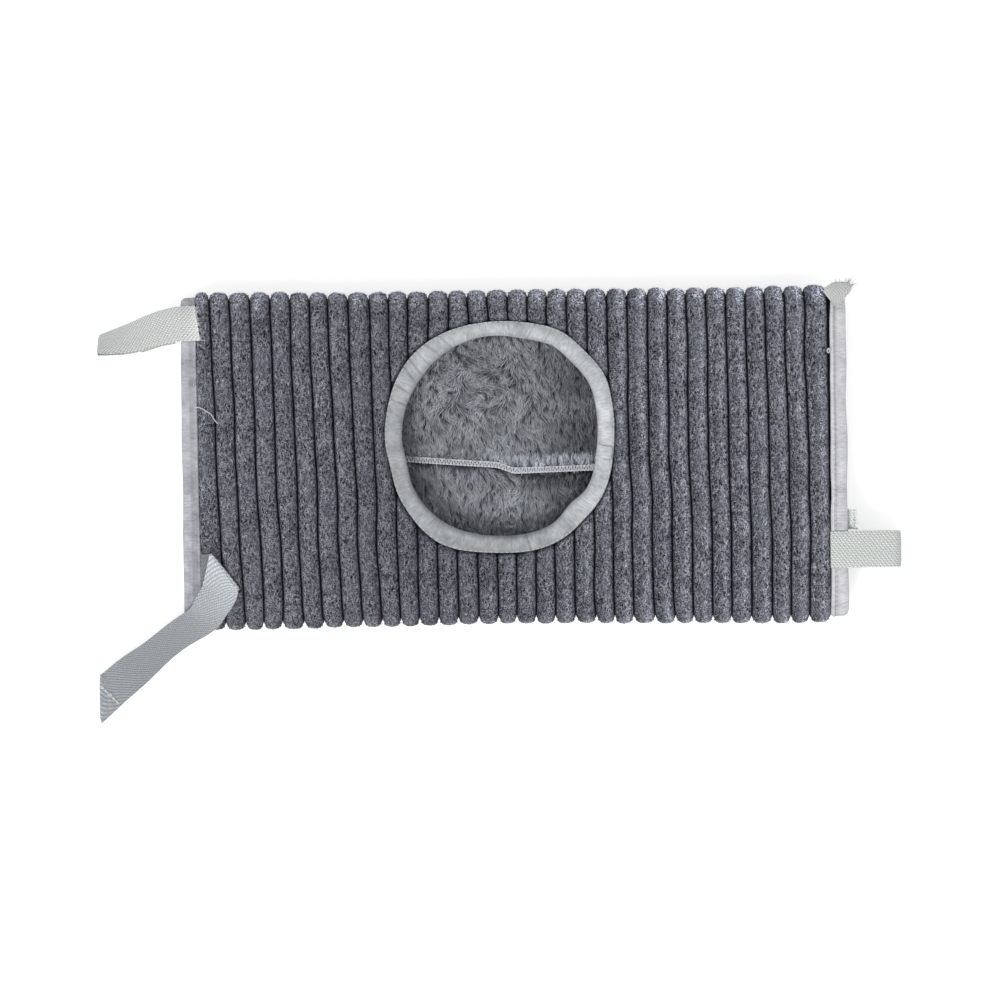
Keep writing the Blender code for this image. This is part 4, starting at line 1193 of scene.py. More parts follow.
def makeStitches():
    outer = ringTop[:, 0] * 0.45 + ringTop[:, 1] * 0.55
    outer = outer + np.array([0.0, 0.0, 0.2 * mm])
    stitchAlong("entranceStitches", outer, True, ringStitch["pitch"], ringStitch["length"],
                ringStitch["girth"], threadWhite, "hole_stitching")
    around = roundSection(2.0 * mm, 2.0 * mm, 2.0 * mm)
    for side, fromRight, material in (("left", False, threadGrey), ("right", True, threadWhite)):
        distance = bindingWidth - mouthStitch["fromEdge"]
        u = tunnelLength - distance if fromRight else distance
        level = entrance["tapeLevel"] - mouthTape["puff"] * 0.55 - 0.15 * mm
        line = tunnelPlace(u + 0.0 * around, *sectionPlace(around, level))
        stitchAlong(side + "MouthStitches", line, True, mouthStitch["pitch"], mouthStitch["length"],
                    mouthStitch["girth"], material, side + "_end_stitching")


makeStitches()


# The seam inside, with its overlocked edge

seam = {
    "width": 5.0 * mm,
    "height": 1.7 * mm,
    "pitch": 1.9 * mm,
    "threadGirth": 0.9 * mm,
    "band": 2.6 * mm,
    "fur": 9000,  # strands on it
    "furLength": 5.2 * mm,
    "zigzag": (-0.5, 0.5, 0.5, -0.5),  # the overlock thread's places across the band
}


def makeSeam():
    x = np.linspace(leftEnd + bindingWidth + 2 * mm, rightLow.x - 2 * mm, 180)
    u = x - leftEnd
    line = seamLine(x)
    shares = np.linspace(0.0, 1.0, 9)
    liftShare = 1.0 + 0.9 * smooth((x - holeX + 5 * mm) / (20 * mm))
    rows = []
    for place, middle, lift in zip(u, line, liftShare):
        y = middle + seam["width"] * shares - middleY
        z = tunnel["wallInner"] + 0.2 * mm + seam["height"] * lift * np.sin(np.pi * shares ** 0.7) ** 0.8
        rows.append(tunnelPlace(place, y, z))
    rows = np.array(rows)
    low = rows.copy()
    low[..., 2] = rows[:, [0]][..., 2] - 0.1 * mm
    ringed = np.concatenate([rows, low[:, ::-1]], axis=1)
    tip = np.ones(ringed.shape[:2]) * 0.9
    piece = makePiece("seamAllowance", ringed, tubeFaces(*ringed.shape[:2]), liningBase, attributes={
        "tip": tip, "strandShade": tip * 0.5, "pileTone": tip / tip})
    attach(piece, "tunnel")
    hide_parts("wall_seam")
    share = np.ones(rows.shape[:2])
    values = {**noSwirl, "Strand": furStrand, "Longest": seam["furLength"], "Shortest": seam["furLength"] / 2,
              "Upright": 0.7, "Comb": (0.1, 0.8, 0.0), "Wander": 1.6, "Wander Size": 8 * mm, "Clump": 3 * mm,
              "Clump Pull": 200.0, "Patch": 3.4 * mm, "Material": liningFur, "Seed": 71,
              "Per Square Metre": seam["fur"] / (seam["width"] * tunnelLength)}
    faces = gridFaces(len(rows), rows.shape[1], False, False)[:, ::-1]
    # painted highlight: the seam's fur is lighter where its ridge stands up, towards the right
    tone = share * (1.3 + 0.6 * smooth((x - holeX + 20 * mm) / (25 * mm)))[:, None]
    print("seamFur", growPile("seamFur", rows, faces, share, tone, values))
    return x, line, liftShare


def makeOverlock():
    x, line, liftShare = makeSeam()
    steps = int((x[-1] - x[0]) / seam["pitch"]) * 4
    along = np.linspace(x[0], x[-1], steps)
    middle = np.interp(along, x, line) - 0.6 * mm
    lift = np.interp(along, x, liftShare)
    phase = np.arange(steps) % 4
    aside = np.array(seam["zigzag"])[phase] * seam["band"]
    high = tunnel["wallInner"] + 0.9 * mm + (lift - 0.4) * 1.7 * mm
    zig = tunnelPlace(along - leftEnd, middle + aside - middleY, high + 0.2 * mm * (phase % 2))
    for name, side in (("overlockLower", -0.5), ("overlockUpper", 0.5)):
        edge = tunnelPlace(along - leftEnd, middle + side * seam["band"] - middleY, high + 0.25 * mm)
        stitchAlong(name, edge[::2], False, seam["pitch"], seam["pitch"] * 0.98, seam["threadGirth"] * 1.15,
                    threadWhite, None)
    curve = bpy.data.curves.new("overlockZigzag", "CURVE")
    curve.dimensions = "3D"
    curve.bevel_depth = seam["threadGirth"] / 2
    curve.bevel_resolution = 1
    spline = curve.splines.new("POLY")
    spline.points.add(len(zig) - 1)
    spline.points.foreach_set("co", np.concatenate([zig, np.ones((len(zig), 1))], axis=1).ravel())
    holder = bpy.data.objects.new("overlockZigzag", curve)
    bpy.context.scene.collection.objects.link(holder)
    graph = bpy.context.evaluated_depsgraph_get()
    mesh = bpy.data.meshes.new_from_object(holder.evaluated_get(graph))
    bpy.data.objects.remove(holder)
    piece = bpy.data.objects.new("overlockZigzagThread", mesh)
    bpy.context.scene.collection.objects.link(piece)
    mesh.materials.clear()
    mesh.materials.append(threadWhite)
    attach(piece, "tunnel")
    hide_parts("overlock_thread")


makeOverlock()
print("seam and stitches made")


# The webbing straps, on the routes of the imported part

strap = {
    "width": 20 * mm,
    "half": 0.6 * mm,
    "length": 130 * mm,
    "foldPitch": 1.8 * mm,
    "pressedPitch": 1.35 * mm,  # where its layers lie pressed together
    "foldStepBack": 4 * mm,
    "rootMargin": 0.3 * mm,
    "rootLift": 0.95 * mm,
    "gap": 0.3 * mm,
    "bendSteps": 6,
    "routeSteps": 4,
    "acrossSteps": 10,
}
tapeOuter = entrance["tapeLevel"]


def arcPlace(inset, distance):
    # place (y, z) on the tunnel's section, this far past its flat top on the far side
    radius = sideRound - inset
    if distance <= 0.0:
        return flatHalf + distance, sideRound + radius
    return flatHalf + radius * math.sin(distance / radius), sideRound + radius * math.cos(distance / radius)


def onTunnel(u, y, z):
    return Vector([float(value) for value in tunnelPlace(u, y, z)])


def between(rows, share):
    # a place on the smooth curve through these rows of numbers
    place = share * (len(rows) - 1)
    index = min(int(place), len(rows) - 2)
    part = place - index
    before = rows[max(index - 1, 0)]
    beyond = rows[min(index + 2, len(rows) - 1)]
    values = []
    for p0, p1, p2, p3 in zip(before, rows[index], rows[index + 1], beyond):
        values.append(p1 + part * (p2 - p0 + part * (2.0 * p0 - 5.0 * p1 + 4.0 * p2 - p3
                                                     + part * (3.0 * p1 - p0 - 3.0 * p2 + p3))) / 2.0)
    return values


def smoothRoute(rows):
    # places along a strap's route, each with its heading and its tilt
    count = strap["routeSteps"] * (len(rows) - 1)
    samples = [between(rows, step / count) for step in range(count + 1)]
    places = [Vector(sample[:3]) for sample in samples]
    route = []
    for index, place in enumerate(places):
        before = places[max(index - 1, 0)]
        after = places[min(index + 1, count)]
        route.append((place, (after - before).normalized(), samples[index][3]))
    return route


def crossEdges(middle, heading, tilt):
    # the webbing's two edges, square to its heading
    levelSide = Vector((-heading.y, heading.x, 0.0)).normalized()
    upSide = heading.cross(levelSide).normalized()
    side = (levelSide * math.cos(tilt) + upSide * math.sin(tilt)) * (strap["width"] / 2)
    return middle - side, middle + side


def underSide(a, b, heading):
    # the downward normal of webbing that lies from edge a to edge b
    normal = (b - a).cross(heading).normalized()
    return -normal if normal.z > 0 else normal


def foldedEdges(frames, total):
    # the two edges along the part that shows, then back and forth in folds under it until the webbing ends
    middles = [(a + b) / 2 for a, b, heading in frames]
    lengths = [0.0]
    for before, after in zip(middles, middles[1:]):
        lengths.append(lengths[-1] + (after - before).length)
    last = len(frames) - 1
    nearest = next(index for index, length in enumerate(lengths) if length > strap["foldStepBack"])
    edges = [(a, b) for a, b, heading in frames]
    left = total - lengths[last]
    at = last
    fold = 0
    pitch = strap["pressedPitch"]
    while left > strap["foldStepBack"]:
        a, b, heading = frames[at]
        down = underSide(a, b, heading)
        outward = heading if at == last else -heading
        for step in range(1, strap["bendSteps"]):
            turn = math.pi * step / strap["bendSteps"]
            shift = down * (pitch * (fold + (1.0 - math.cos(turn)) / 2))
            shift = shift + outward * (pitch / 2 * math.sin(turn))
            edges.append((a + shift, b + shift))
        fold = fold + 1
        end = nearest if at == last else last
        headingStep = -1 if at == last else 1
        while left > 0.0:
            a, b, heading = frames[at]
            down = underSide(a, b, heading) * (pitch * fold)
            edges.append((a + down, b + down))
            if at == end:
                break
            left = left - abs(lengths[at + headingStep] - lengths[at])
            at = at + headingStep
    return edges


def rowAcross(a, b):
    shares = np.linspace(0.0, 1.0, strap["acrossSteps"] + 1)[:, None]
    return np.array(a)[None, :] * (1.0 - shares) + np.array(b)[None, :] * shares


def weave(name, rows, material, nodes, body, hinge=None, tone=((0.0, 1.0), (1.0, 1.0))):
    # webbing of even thickness through rows of points across it, with thin rounded selvedges; given a hinge,
    # its transform is only baked into its mesh and it is attached to no body
    rows = np.array(rows, float)
    middle = rows.mean(axis=1)
    steps = np.linalg.norm(np.diff(middle, axis=0), axis=1)
    along = np.concatenate([[0.0], np.cumsum(steps)])
    tangentAlong = np.gradient(rows, axis=0)
    tangentAcross = np.gradient(rows, axis=1)
    normal = np.cross(tangentAcross, tangentAlong)
    normal = normal / np.maximum(np.linalg.norm(normal, axis=-1, keepdims=True), 1e-9)
    across = np.linspace(-1.0, 1.0, rows.shape[1])
    thick = strap["half"] * (1.0 - 0.75 * np.abs(across) ** 6)
    top = rows + normal * thick[None, :, None]
    low = rows - normal * thick[None, :, None]
    ringed = np.concatenate([top, low[:, ::-1]], axis=1)
    width = float(np.linalg.norm(rows[:, -1] - rows[:, 0], axis=1).max())
    v = (across + 1.0) / 2.0 * width
    uvTop = stack(along[:, None] + 0.0 * v[None, :], v[None, :] + 0.0 * along[:, None])
    uv = np.concatenate([uvTop, uvTop[:, ::-1]], axis=1)
    shade = np.interp(along / along[-1], *tone)[:, None] + np.zeros(ringed.shape[1])
    piece = makePiece(name, ringed, tubeFaces(*ringed.shape[:2]), material, attributes={"clothShade": shade}, uv=uv)
    piece.data.set_sharp_from_angle(angle=math.radians(50.0))
    if hinge:
        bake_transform(piece)
    else:
        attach(piece, body)
    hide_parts(*nodes)


def makeThreads(name, paths, girth, body="tunnel"):
    # loose ends of thread: thin tubes of five sides along short paths
    points = []
    faces = []
    turn = np.linspace(0.0, 2.0 * math.pi, 5, endpoint=False)[None, :, None]
    for path in paths:
        path = np.array(path, float)
        heading = np.gradient(path, axis=0)
        side = np.cross(heading, (0.0, 0.02, 1.0))
        side = side / np.linalg.norm(side, axis=1, keepdims=True)
        up = np.cross(side, heading)
        up = up / np.linalg.norm(up, axis=1, keepdims=True)
        first = len(points) * 5
        rings = path[:, None] + girth / 2 * (np.cos(turn) * side[:, None] + np.sin(turn) * up[:, None])
        points.extend(rings)
        faces.extend(tuple(corner + first for corner in face) for face in tubeFaces(len(path), 5))
    piece = makePiece(name, np.array(points), faces, threadWhite)
    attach(piece, body)


def makeFray(name, edges, outward, count, long, girth, seed, body="tunnel"):
    # threads that stand out of a cut edge, each a little bent
    source = np.random.default_rng(seed)
    paths = []
    for place in source.random(count):
        start = np.array([np.interp(place, np.linspace(0.0, 1.0, len(edges)), [edge[axis] for edge in edges])
                          for axis in range(3)])
        reach = np.array(outward) + source.normal(0.0, 0.45, 3) * (1.0, 1.0, 0.35)
        bend = source.normal(0.0, 0.3, 3) * (1.0, 1.0, 0.3)
        steps = np.linspace(0.0, 1.0, 5)[:, None] * long * (0.45 + 0.55 * source.random())
        paths.append(start + reach * steps + bend * steps ** 2 / long)
    makeThreads(name, paths, girth, body)


looseThread = {
    "girth": 0.55 * mm,
    # one lies across the left tape and the first rib: from the mouth and across, in mm
    "strayAlong": (6.8, 11.6, 16.0, 20.4),
    "strayAcross": (54.0, 53.0, 50.2, 44.6),
    "strayWave": 0.35 * mm,
    "strayLift": 1.0 * mm,
    # one is curled up on the right tape
    "knotFromMouth": 9.0 * mm,
    "knotAcross": 80.0 * mm,
    "knotReach": 1.0 * mm,
    "knotTurns": 1.7,
    "knotDrop": 1.6 * mm,
    "lapDrop": 1.6 * mm,  # a few stand out of the lap of the entrance's tape, this far below the crests
}


def makeLooseThreads():
    fine = np.linspace(0.0, 3.0, 13)
    u, y = (np.interp(fine, range(4), looseThread[side]) * mm for side in ("strayAlong", "strayAcross"))
    wave = looseThread["strayWave"] * np.sin(fine * 4.0)
    stray = tunnelPlace(u + wave, y - middleY, tunnelHeight + looseThread["strayLift"] + 0.0 * u)
    turn = np.linspace(0.0, 2.0 * looseThread["knotTurns"] * math.pi, 22)
    curl = looseThread["knotReach"] * (1.0 - 0.6 * turn / turn[-1])
    knot = tunnelPlace(tunnelLength - looseThread["knotFromMouth"] + curl * np.cos(turn),
                       looseThread["knotAcross"] - middleY + 1.5 * curl * np.sin(turn),
                       tunnelHeight - looseThread["knotDrop"] + 0.06 * mm * turn)
    makeThreads("looseThreads", [stray, knot], looseThread["girth"])
    level = crestTop - looseThread["lapDrop"]
    edge = [np.array(ringPlace(entrance["radius"] + reach * mm, np.array(ringJoin["turn"]), level))
            for reach in (0.5, 4.0, 8.4)]
    makeFray("joinFray", edge, (0.2, 0.9, 0.25), count=12, long=2.6 * mm, girth=0.3 * mm, seed=17)


makeLooseThreads()

# In each strap's dictionary, a tone is given at shares of the strap's length; for the bottom left strap, its root and
# the tail it is painted light and shade.

topLeft = {
    "fromSide": 16.9 * mm,
    "reach": 45.7 * mm,
    "endTilt": math.radians(58.5),
    "endSlant": 5 * mm,  # the end is cut square to the tunnel, not to the strap
    "cutNear": 10.6 * mm,  # the sewn end, cut askew, laps over the first rib
    "cutFar": 7.5 * mm,
    "climb": 2.6 * mm,
    # shares of the reach outwards and sideways, of the drop and of the tilt
    "route": ((0.0, 0.0, 0.0, 0.0), (0.28, 0.050, 0.20, 0.30), (0.62, 0.155, 0.60, 0.56), (1.0, 0.226, 1.0, 1.0)),
    "tone": ((0.0, 0.02, 0.05, 1.0), (1.15, 1.1, 1.0, 1.0)),
}


def makeTopLeft():
    lowY = tunnelWidth / 2 - topLeft["fromSide"] - strap["width"] / 2
    middle = tapeOuter - strap["rootLift"] - strap["half"]
    shares = np.linspace(0.0, 1.0, strap["acrossSteps"] + 1)
    rows = []
    for part in (1.0, 0.85, 0.65, 0.4):
        row = []
        for s in shares:
            cut = topLeft["cutNear"] + (topLeft["cutFar"] - topLeft["cutNear"]) * s
            u = bindingWidth * 0.6 + (cut - bindingWidth * 0.6) * part
            climb = float(smooth((u - 5.4 * mm) / (3.6 * mm))) * topLeft["climb"]
            row.append(onTunnel(u, *arcPlace(middle - climb, lowY - flatHalf + strap["width"] * s)))
        rows.append(row)
    for u in (bindingWidth * 0.5, strap["rootMargin"]):
        rows.append([onTunnel(u, *arcPlace(middle, lowY - flatHalf + strap["width"] * s)) for s in shares])
    near, far = rows[-1][0], rows[-1][-1]
    start = (near + far) / 2 - Vector((2.0 * strap["rootMargin"], 0.0, 0.0))
    firstTilt = math.asin((near.z - far.z) / (near - far).length)
    endHeight = strap["width"] / 2 * math.sin(topLeft["endTilt"]) + strap["foldPitch"] + strap["gap"]
    stations = []
    for out, side, drop, tilt in topLeft["route"]:
        stations.append((start.x - topLeft["reach"] * out, start.y - topLeft["reach"] * side,
                         start.z - (start.z - endHeight) * drop, firstTilt + (topLeft["endTilt"] - firstTilt) * tilt))
    route = smoothRoute(stations)
    frames = []
    for index, (place, heading, tilt) in enumerate(route):
        a, b = crossEdges(place, heading, tilt)
        slant = heading * (topLeft["endSlant"] / 2 * (index / (len(route) - 1)) ** 2)
        frames.append((a + slant, b - slant, heading))
    inward = Vector((start.x - near.x, 0.0, 0.0))
    frames[0] = (far + inward, near + inward, frames[0][2])
    edges = foldedEdges(frames, strap["length"] - bindingWidth)
    bow = np.array(rows[-1]) - rowAcross(near, far)
    for index, (a, b) in enumerate(edges):
        fade = max(1.0 - index / 5.0, 0.0)
        rows.append(rowAcross(b, a) + bow * fade)
    pivot = (near + far) / 2
    cutEdge = [np.array(place) + (0.0, 0.0, 0.5 * mm) for place in rows[0]]
    makeFray("strapFrayTopLeft", cutEdge, (0.7, -0.2, 0.1), count=46, long=1.9 * mm, girth=0.26 * mm, seed=19)
    hinge = (pivot + Vector((1 * mm, 0, 0)), pivot - Vector((2.5 * mm, 0, 0)))
    weave("strapTopLeft", rows, webbing, ("strap_root_top_left", "strap_top_left"), "top_left_strap",
          hinge, tone=topLeft["tone"])


topRight = {
    "overhang": 5.2 * mm,
    "shift": 7.5 * mm,
    "rootTurn": math.radians(17.5),
    "hingeTurn": math.radians(45.0),
    "leaveTurn": math.radians(172.0),
    "landing": 24 * mm,
    "slack": 0.5 * mm,
    "gatherAt": (17.5, 34.0, 48.0, 60.0, 74.0, 90.0, 120.0, 155.0),
    "gatherWidth": (2.5 * mm, 10.5 * mm, 16.2 * mm, 14.5 * mm, 9.5 * mm, 7.0 * mm, 9.0 * mm, 20.0 * mm),
    "gatherMiddle": (5.4 * mm, 4.4 * mm, 3.6 * mm, 2.8 * mm, 2.2 * mm, 2.4 * mm, 3.4 * mm, 4.8 * mm),
    "pressed": 0.9 * mm,  # the side is drawn in there, and the strap with it
    "skew": 1.2 * mm,  # the sewn end was cut a little askew
    "tone": ((0.0, 1.0), (1.1, 1.1)),
}


def makeTopRight():
    inset = -strap["gap"] - strap["half"]
    radius = sideRound - inset
    stations = (tunnelLength + topRight["overhang"] - strap["width"], tunnelLength + topRight["overhang"])
    start = radius * topRight["rootTurn"]
    hinge = radius * topRight["hingeTurn"]
    rows = []

    def gathered(degrees):
        # the two edges' places along the tunnel, where the webbing is gathered towards its sewn end
        wide = float(np.interp(degrees, topRight["gatherAt"], topRight["gatherWidth"]))
        inFromMouth = float(np.interp(degrees, topRight["gatherAt"], topRight["gatherMiddle"]))
        return tunnelLength - inFromMouth - wide / 2, tunnelLength - inFromMouth + wide / 2

    for share in np.linspace(0.0, 1.0, 7):
        distance = start + (hinge - start) * share
        low, high = gathered(math.degrees(distance / radius))
        skew = topRight["skew"] * (1.0 - share)
        a = onTunnel(low, *arcPlace(inset, distance + skew))
        b = onTunnel(high, *arcPlace(inset, distance - skew))
        rows.append(rowAcross(a, b))
    span = topRight["leaveTurn"] - topRight["hingeTurn"]
    steps = 3 * strap["routeSteps"]
    edges = []
    for step in range(1, steps + 1):
        turn = topRight["hingeTurn"] + span * step / steps
        part = step / steps
        shift = topRight["shift"] * float(smooth((part - 0.5) / 0.5))
        pressed = topRight["pressed"] * float(smooth(4.0 * part) * smooth((1.0 - part) / 0.3))
        slack = topRight["slack"] * math.sin(math.pi * part) ** 2 - pressed
        place = arcPlace(inset - slack, (radius + slack) * turn)
        edges.append(tuple(onTunnel(u - shift, *place) for u in gathered(math.degrees(turn))))
    a, b = edges[-1]
    shown = sum(((c + d) / 2 - (e + f) / 2).length for (c, d), (e, f) in zip(edges, edges[1:]))
    run = strap["length"] - (hinge - start) - shown
    floor = strap["half"] + strap["gap"]
    for step in range(1, 2 * steps + 1):
        back = run * step / (2 * steps)
        settle = float(smooth(back / topRight["landing"]))
        edges.append(tuple(Vector((p.x, p.y - back, p.z + (floor - p.z) * settle)) for p in (a, b)))
    rows.extend(rowAcross(a, b) for a, b in edges)
    pivot = (onTunnel(stations[0], *arcPlace(inset, hinge)) + onTunnel(stations[1], *arcPlace(inset, hinge))) / 2
    frayEdge = (edges[2][0], edges[3][1], edges[2][1], edges[1][1], edges[0][1])
    makeFray("strapFrayTopRight", frayEdge, (0.5, 0.7, 0.1), count=70, long=2.6 * mm, girth=0.28 * mm, seed=23,
             body="top_right_strap")
    bend = Vector((0, -0.3 * mm, 1.5 * mm))
    weave("strapTopRight", rows, webbing, ("strap_root_top_right", "strap_top_right"), "top_right_strap",
          (pivot + bend, pivot - bend), tone=topRight["tone"])


bottomLeft = {
    "creaseFromSide": 31.8 * mm,
    "creaseFromMouth": 19.38 * mm,
    "creaseRun": 15.4 * mm,
    "rootStart": 9.2 * mm,
    "reachX": 68.8 * mm,
    "reachY": 68.8 * mm,
    "tuckCorner": 0.06,
    "route": ((0.0, 0.0, 0.0, 0.0), (0.030, 0.145, 0.0, -4.0), (0.100, 0.266, 0.01, -15.0),
              (0.175, 0.370, 0.13, -27.0), (0.380, 0.502, 0.38, -36.0), (0.585, 0.656, 0.64, -34.0),
              (0.850, 0.868, 1.0, 0.0), (1.0, 1.0, 1.0, 0.0)),
    "hemLeft": 0.27,
    "hemRight": 0.235,
    "hemStop": 0.82,
    "hemPitch": 2.6 * mm,
    "hemLength": 2.7 * mm,
    "hemGirth": 1.1 * mm,
    "butt": 0.05 * mm,  # between the crease and the strap that swings from it
    # painted shade on the flat root, painted light on its bend
    "rootTone": ((0.0, 0.6, 0.74, 1.0), (0.55, 0.5, 1.15, 1.3)),
    # painted light near the fold, painted shade where the strap slopes down
    "tone": ((0.0, 0.1, 0.3, 0.7, 1.0), (1.35, 1.12, 0.7, 0.66, 0.9)),
}


def makeBottomLeft():
    pitch = strap["foldPitch"]
    creaseY = -tunnelWidth / 2 + bottomLeft["creaseFromSide"]
    level = tunnelHeight + strap["gap"] + strap["half"]
    centre = onTunnel(bottomLeft["creaseFromMouth"], creaseY, level)
    half = Vector((bottomLeft["creaseRun"] / 2, -strap["width"] / 2, 0.0))
    lower = centre + half
    upper = centre - half
    lower.z = onTunnel(bottomLeft["creaseFromMouth"] + bottomLeft["creaseRun"] / 2, creaseY, level).z
    upper.z = lower.z
    rootX = leftEnd + bottomLeft["rootStart"]
    rootZ = onTunnel(bottomLeft["rootStart"], 0.0, level).z
    outward = Vector((-(lower - upper).normalized().y, (lower - upper).normalized().x, 0.0))
    edges = [(Vector((rootX, upper.y, rootZ)), Vector((rootX, lower.y, rootZ)))]
    for part in (0.35, 0.7, 0.9):
        edges.append((edges[0][0].lerp(upper, part), edges[0][1].lerp(lower, part)))
    for step in range(strap["bendSteps"] + 1):
        turn = math.pi * step / strap["bendSteps"]
        shift = Vector((0.0, 0.0, pitch * (1.0 - math.cos(turn)) / 2)) + outward * (pitch / 2 * math.sin(turn))
        edges.append((upper + shift, lower + shift))
    weave("strapRootBottomLeft", [rowAcross(a, b) for a, b in edges], webbingShade,
          ("strap_root_bottom_left",), "tunnel", tone=bottomLeft["rootTone"])
    lift = Vector((0.0, 0.0, pitch))
    butt = outward * bottomLeft["butt"]
    start = (upper + lower) / 2 + lift - butt
    endHeight = pitch + strap["half"] + strap["gap"]
    stations = []
    for x, y, drop, tilt in bottomLeft["route"]:
        stations.append((start.x - bottomLeft["reachX"] * x, start.y - bottomLeft["reachY"] * y,
                         start.z - (start.z - endHeight) * drop, math.radians(tilt)))
    route = smoothRoute(stations)
    for place, heading, tilt in route:
        place.z = max(place.z, endHeight)
    edges = [crossEdges(*sample) for sample in route]
    edges[0] = (upper + lift - butt, lower + lift - butt)
    for step in range(1, strap["routeSteps"]):
        share = step / strap["routeSteps"]
        edges[step] = tuple(p.lerp(q, share) for p, q in zip(edges[0], edges[strap["routeSteps"]]))
    end, heading, tilt = route[-1]
    halfChord = Vector((0.0, strap["width"] / 2 / abs(heading.x), 0.0))
    first = end + halfChord
    second = end - halfChord
    del edges[-3:]
    hemRow = len(edges) - 1
    edges.append((first, second))
    for step in range(1, strap["bendSteps"] + 1):
        turn = math.pi * step / strap["bendSteps"]
        shift = Vector((-pitch / 2 * math.sin(turn), 0.0, -pitch * (1.0 - math.cos(turn)) / 2))
        edges.append((first + shift, second + shift))
    sink = Vector((0.0, 0.0, -pitch))
    run = 2.0 * halfChord.y * abs(heading.y)
    corner = first + sink + Vector((run * abs(heading.x), -run * abs(heading.y), 0.0))
    edges.append((corner, (second + sink).lerp(corner, bottomLeft["tuckCorner"])))
    weave("strapBottomLeft", [rowAcross(a, b) for a, b in edges], webbingShade, ("strap_bottom_left",),
          "bottom_left_strap", tone=bottomLeft["tone"])
    raised = Vector((0.0, 0.0, strap["half"] + 0.2 * mm))
    left = first.lerp(second, bottomLeft["hemLeft"]) + raised
    right = left.lerp(edges[hemRow][1].lerp(second, bottomLeft["hemRight"]) + raised, bottomLeft["hemStop"])
    line = [left.lerp(right, share) for share in np.linspace(0.02, 0.98, 12)]
    stitchAlong("strapHemStitches", line, False, bottomLeft["hemPitch"], bottomLeft["hemLength"],
                bottomLeft["hemGirth"], threadWhite, "strap_hem_stitching", "bottom_left_strap")
    middle = np.array(left.lerp(right, 0.5))
    turn = np.linspace(0.0, 4.0 * math.pi, 26)
    lump = middle + stack(1.1 * mm * np.cos(turn), 0.6 * mm * np.sin(turn), 0.5 * mm + 0.0 * turn)
    makeThreads("hemKnot", [lump], 0.7 * mm, "bottom_left_strap")


bottomRight = {
    "fromSide": 39.6 * mm,
    "reach": 28.8 * mm,
    "sag": 1.2 * mm,
    "lap": 2.0 * mm,  # how far the sewn end reaches past the tape
}


def makeBottomRight():
    lowY = -tunnelWidth / 2 + bottomRight["fromSide"] - strap["width"] / 2
    middle = tapeOuter - strap["rootLift"] - strap["half"]
    near = onTunnel(tunnelLength - strap["rootMargin"], *arcPlace(middle, lowY - flatHalf))
    far = onTunnel(tunnelLength - strap["rootMargin"], *arcPlace(middle, lowY - flatHalf + strap["width"]))
    start = (near + far) / 2 + Vector((2.0 * strap["rootMargin"], 0.0, 0.0))
    floor = strap["half"] + strap["gap"]
    runDrop = (start.z - bottomRight["sag"] - floor) / 3
    radius = runDrop / 2
    farX = start.x + bottomRight["reach"] - radius
    nearX = start.x + radius + 4.0 * strap["half"]
    level = start.z - bottomRight["sag"]
    back = Vector((bindingWidth + bottomRight["lap"], 0.0, 0.0))
    route = [start - back, start - back * 0.5]
    for step in range(9):
        share = step / 8
        route.append(Vector((start.x + (farX - start.x) * share, start.y,
                             start.z - bottomRight["sag"] * float(smooth(share)))))
    for turnX, side in ((farX, 1.0), (nearX, -1.0), (farX, 1.0)):
        for step in range(9):
            turn = math.pi * step / 8
            route.append(Vector((turnX + side * radius * math.sin(turn), start.y,
                                 level - radius * (1.0 - math.cos(turn)))))
        level = level - runDrop
    del route[11]  # the first turn starts where the straight run ends
    shown = sum((after - before).length for before, after in zip(route[2:], route[3:]))
    run = strap["length"] - bindingWidth - shown
    for step in range(1, strap["routeSteps"] + 1):
        route.append(Vector((farX - run * step / strap["routeSteps"], start.y, floor)))
    half = Vector((0.0, strap["width"] / 2, 0.0))
    rows = [rowAcross(place - half, place + half) for place in route]
    pivot = (near + far) / 2
    hinge = (pivot - Vector((1 * mm, 0, 0)), pivot + Vector((1.5 * mm, 0, 0)))
    weave("strapBottomRight", rows, webbing, ("strap_root_bottom_right", "strap_bottom_right"),
          "bottom_right_strap", hinge)


tail = {
    "fromSide": 56.2 * mm,
    "width": 11.2 * mm,
    "reach": 3.8 * mm,
    "root": 5.6 * mm,
    "rise": 4.5 * mm,
    # painted light: the tail lies in shade under the top wall
    "tone": ((0.0, 1.0), (1.4, 1.4)),
}


def makeTail():
    middle = tunnel["wallInner"] + strap["gap"] + strap["half"]
    lowY = -tunnelWidth / 2 + tail["fromSide"] - tail["width"] / 2
    rows = []
    for u in np.linspace(tunnelLength - tail["root"], tunnelLength + tail["reach"], 6):
        rise = tail["rise"] * float(smooth((u - tunnelLength) / tail["reach"]))
        a = onTunnel(u, lowY, tunnelHeight - middle + rise)
        b = onTunnel(u, lowY + tail["width"], tunnelHeight - middle + rise)
        rows.append(rowAcross(a, b))
    weave("strapTail", rows, webbing, ("strap_tail_bottom_right",), "tunnel", tone=tail["tone"])
    makeFray("strapFrayTail", (a, b), (0.9, 0.0, 0.1), count=40, long=1.8 * mm, girth=0.3 * mm, seed=29)


makeTopLeft()
makeTopRight()
makeBottomLeft()
makeBottomRight()
makeTail()
print("straps made")

for helper in (nub, furStrand, stitchShape):
    bpy.data.objects.remove(helper)


# Floor, light and camera

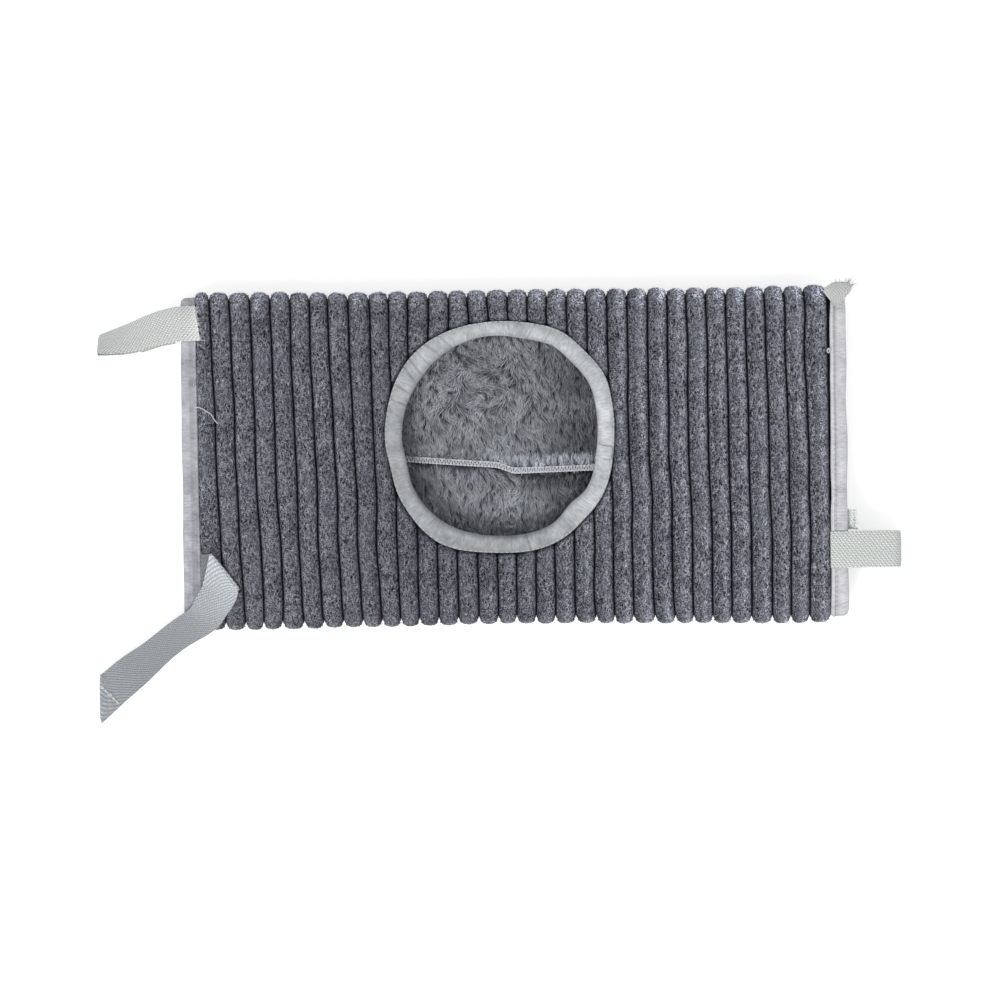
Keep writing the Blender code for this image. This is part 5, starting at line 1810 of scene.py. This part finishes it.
studio = {
    "skyLight": 0.66,
    "sunLight": 1.3,
    "sunTurn": (math.radians(28.0), math.radians(-20.0), 0.0),
    "sunSpread": math.radians(24.0),
    "floorGlow": 0.53,  # the paper is overexposed, so it shows whiter than it lights
    "floorHalf": 4.0,
    "floorLevel": -0.2 * mm,
    "cameraHeight": 6.0,
    "seenWidth": 0.55,
    "centre": (1.2 * mm, 0.56 * mm),
    "turn": math.radians(-0.8),
    "focusLevel": 25 * mm,
}


def makeStudio():
    material, tree, shader = newMaterial("studio floor, white paper", 1.0)
    shader.inputs["Base Color"].default_value = toLinear("#f4f4f4")
    seen = addNode(tree, "ShaderNodeLightPath").outputs
    straight = addNode(tree, "ShaderNodeMath", {"operation": "MAXIMUM"},
                       {0: seen["Is Camera Ray"], 1: seen["Is Glossy Ray"]})
    lift = addNode(tree, "ShaderNodeMath", {"operation": "MULTIPLY"}, {0: straight, 1: studio["floorGlow"]})
    glow = addNode(tree, "ShaderNodeEmission", None, {"Strength": lift})
    both = addNode(tree, "ShaderNodeAddShader", None, {0: shader, 1: glow})
    tree.links.new(both.outputs[0], tree.nodes["Material Output"].inputs["Surface"])
    corners = [(x * studio["floorHalf"], y * studio["floorHalf"], studio["floorLevel"])
               for x, y in ((-1, -1), (1, -1), (1, 1), (-1, 1))]
    floor = makePiece("studioFloor", corners, [(0, 1, 2, 3)], material, closed=False)
    world = bpy.data.worlds.new("studio")
    bpy.context.scene.world = world
    world.use_nodes = True
    sky = world.node_tree
    seen = addNode(sky, "ShaderNodeLightPath").outputs
    shown = addNode(sky, "ShaderNodeMath", {"operation": "MAXIMUM"},
                    {0: seen["Is Camera Ray"], 1: seen["Is Glossy Ray"]})
    level = addNode(sky, "ShaderNodeMapRange", None, {"Value": shown, "To Min": studio["skyLight"]})
    sky.links.new(level.outputs[0], sky.nodes["Background"].inputs["Strength"])
    sky.nodes["Background"].inputs["Color"].default_value = (1.0, 1.0, 1.0, 1.0)
    lamp = bpy.data.lights.new("softSun", "SUN")
    lamp.energy = studio["sunLight"]
    lamp.angle = studio["sunSpread"]
    sun = bpy.data.objects.new("softSun", lamp)
    sun.rotation_euler = studio["sunTurn"]
    bpy.context.scene.collection.objects.link(sun)
    lens = bpy.data.cameras.new("camera")
    lens.lens = lens.sensor_width * (studio["cameraHeight"] - studio["focusLevel"]) / studio["seenWidth"]
    camera = bpy.data.objects.new("camera", lens)
    camera.location = (*studio["centre"], studio["cameraHeight"])
    camera.rotation_euler = (0.0, 0.0, studio["turn"])
    bpy.context.scene.collection.objects.link(camera)
    bpy.context.scene.camera = camera
    bpy.context.scene.view_settings.view_transform = "Standard"


makeStudio()
print("studio set")
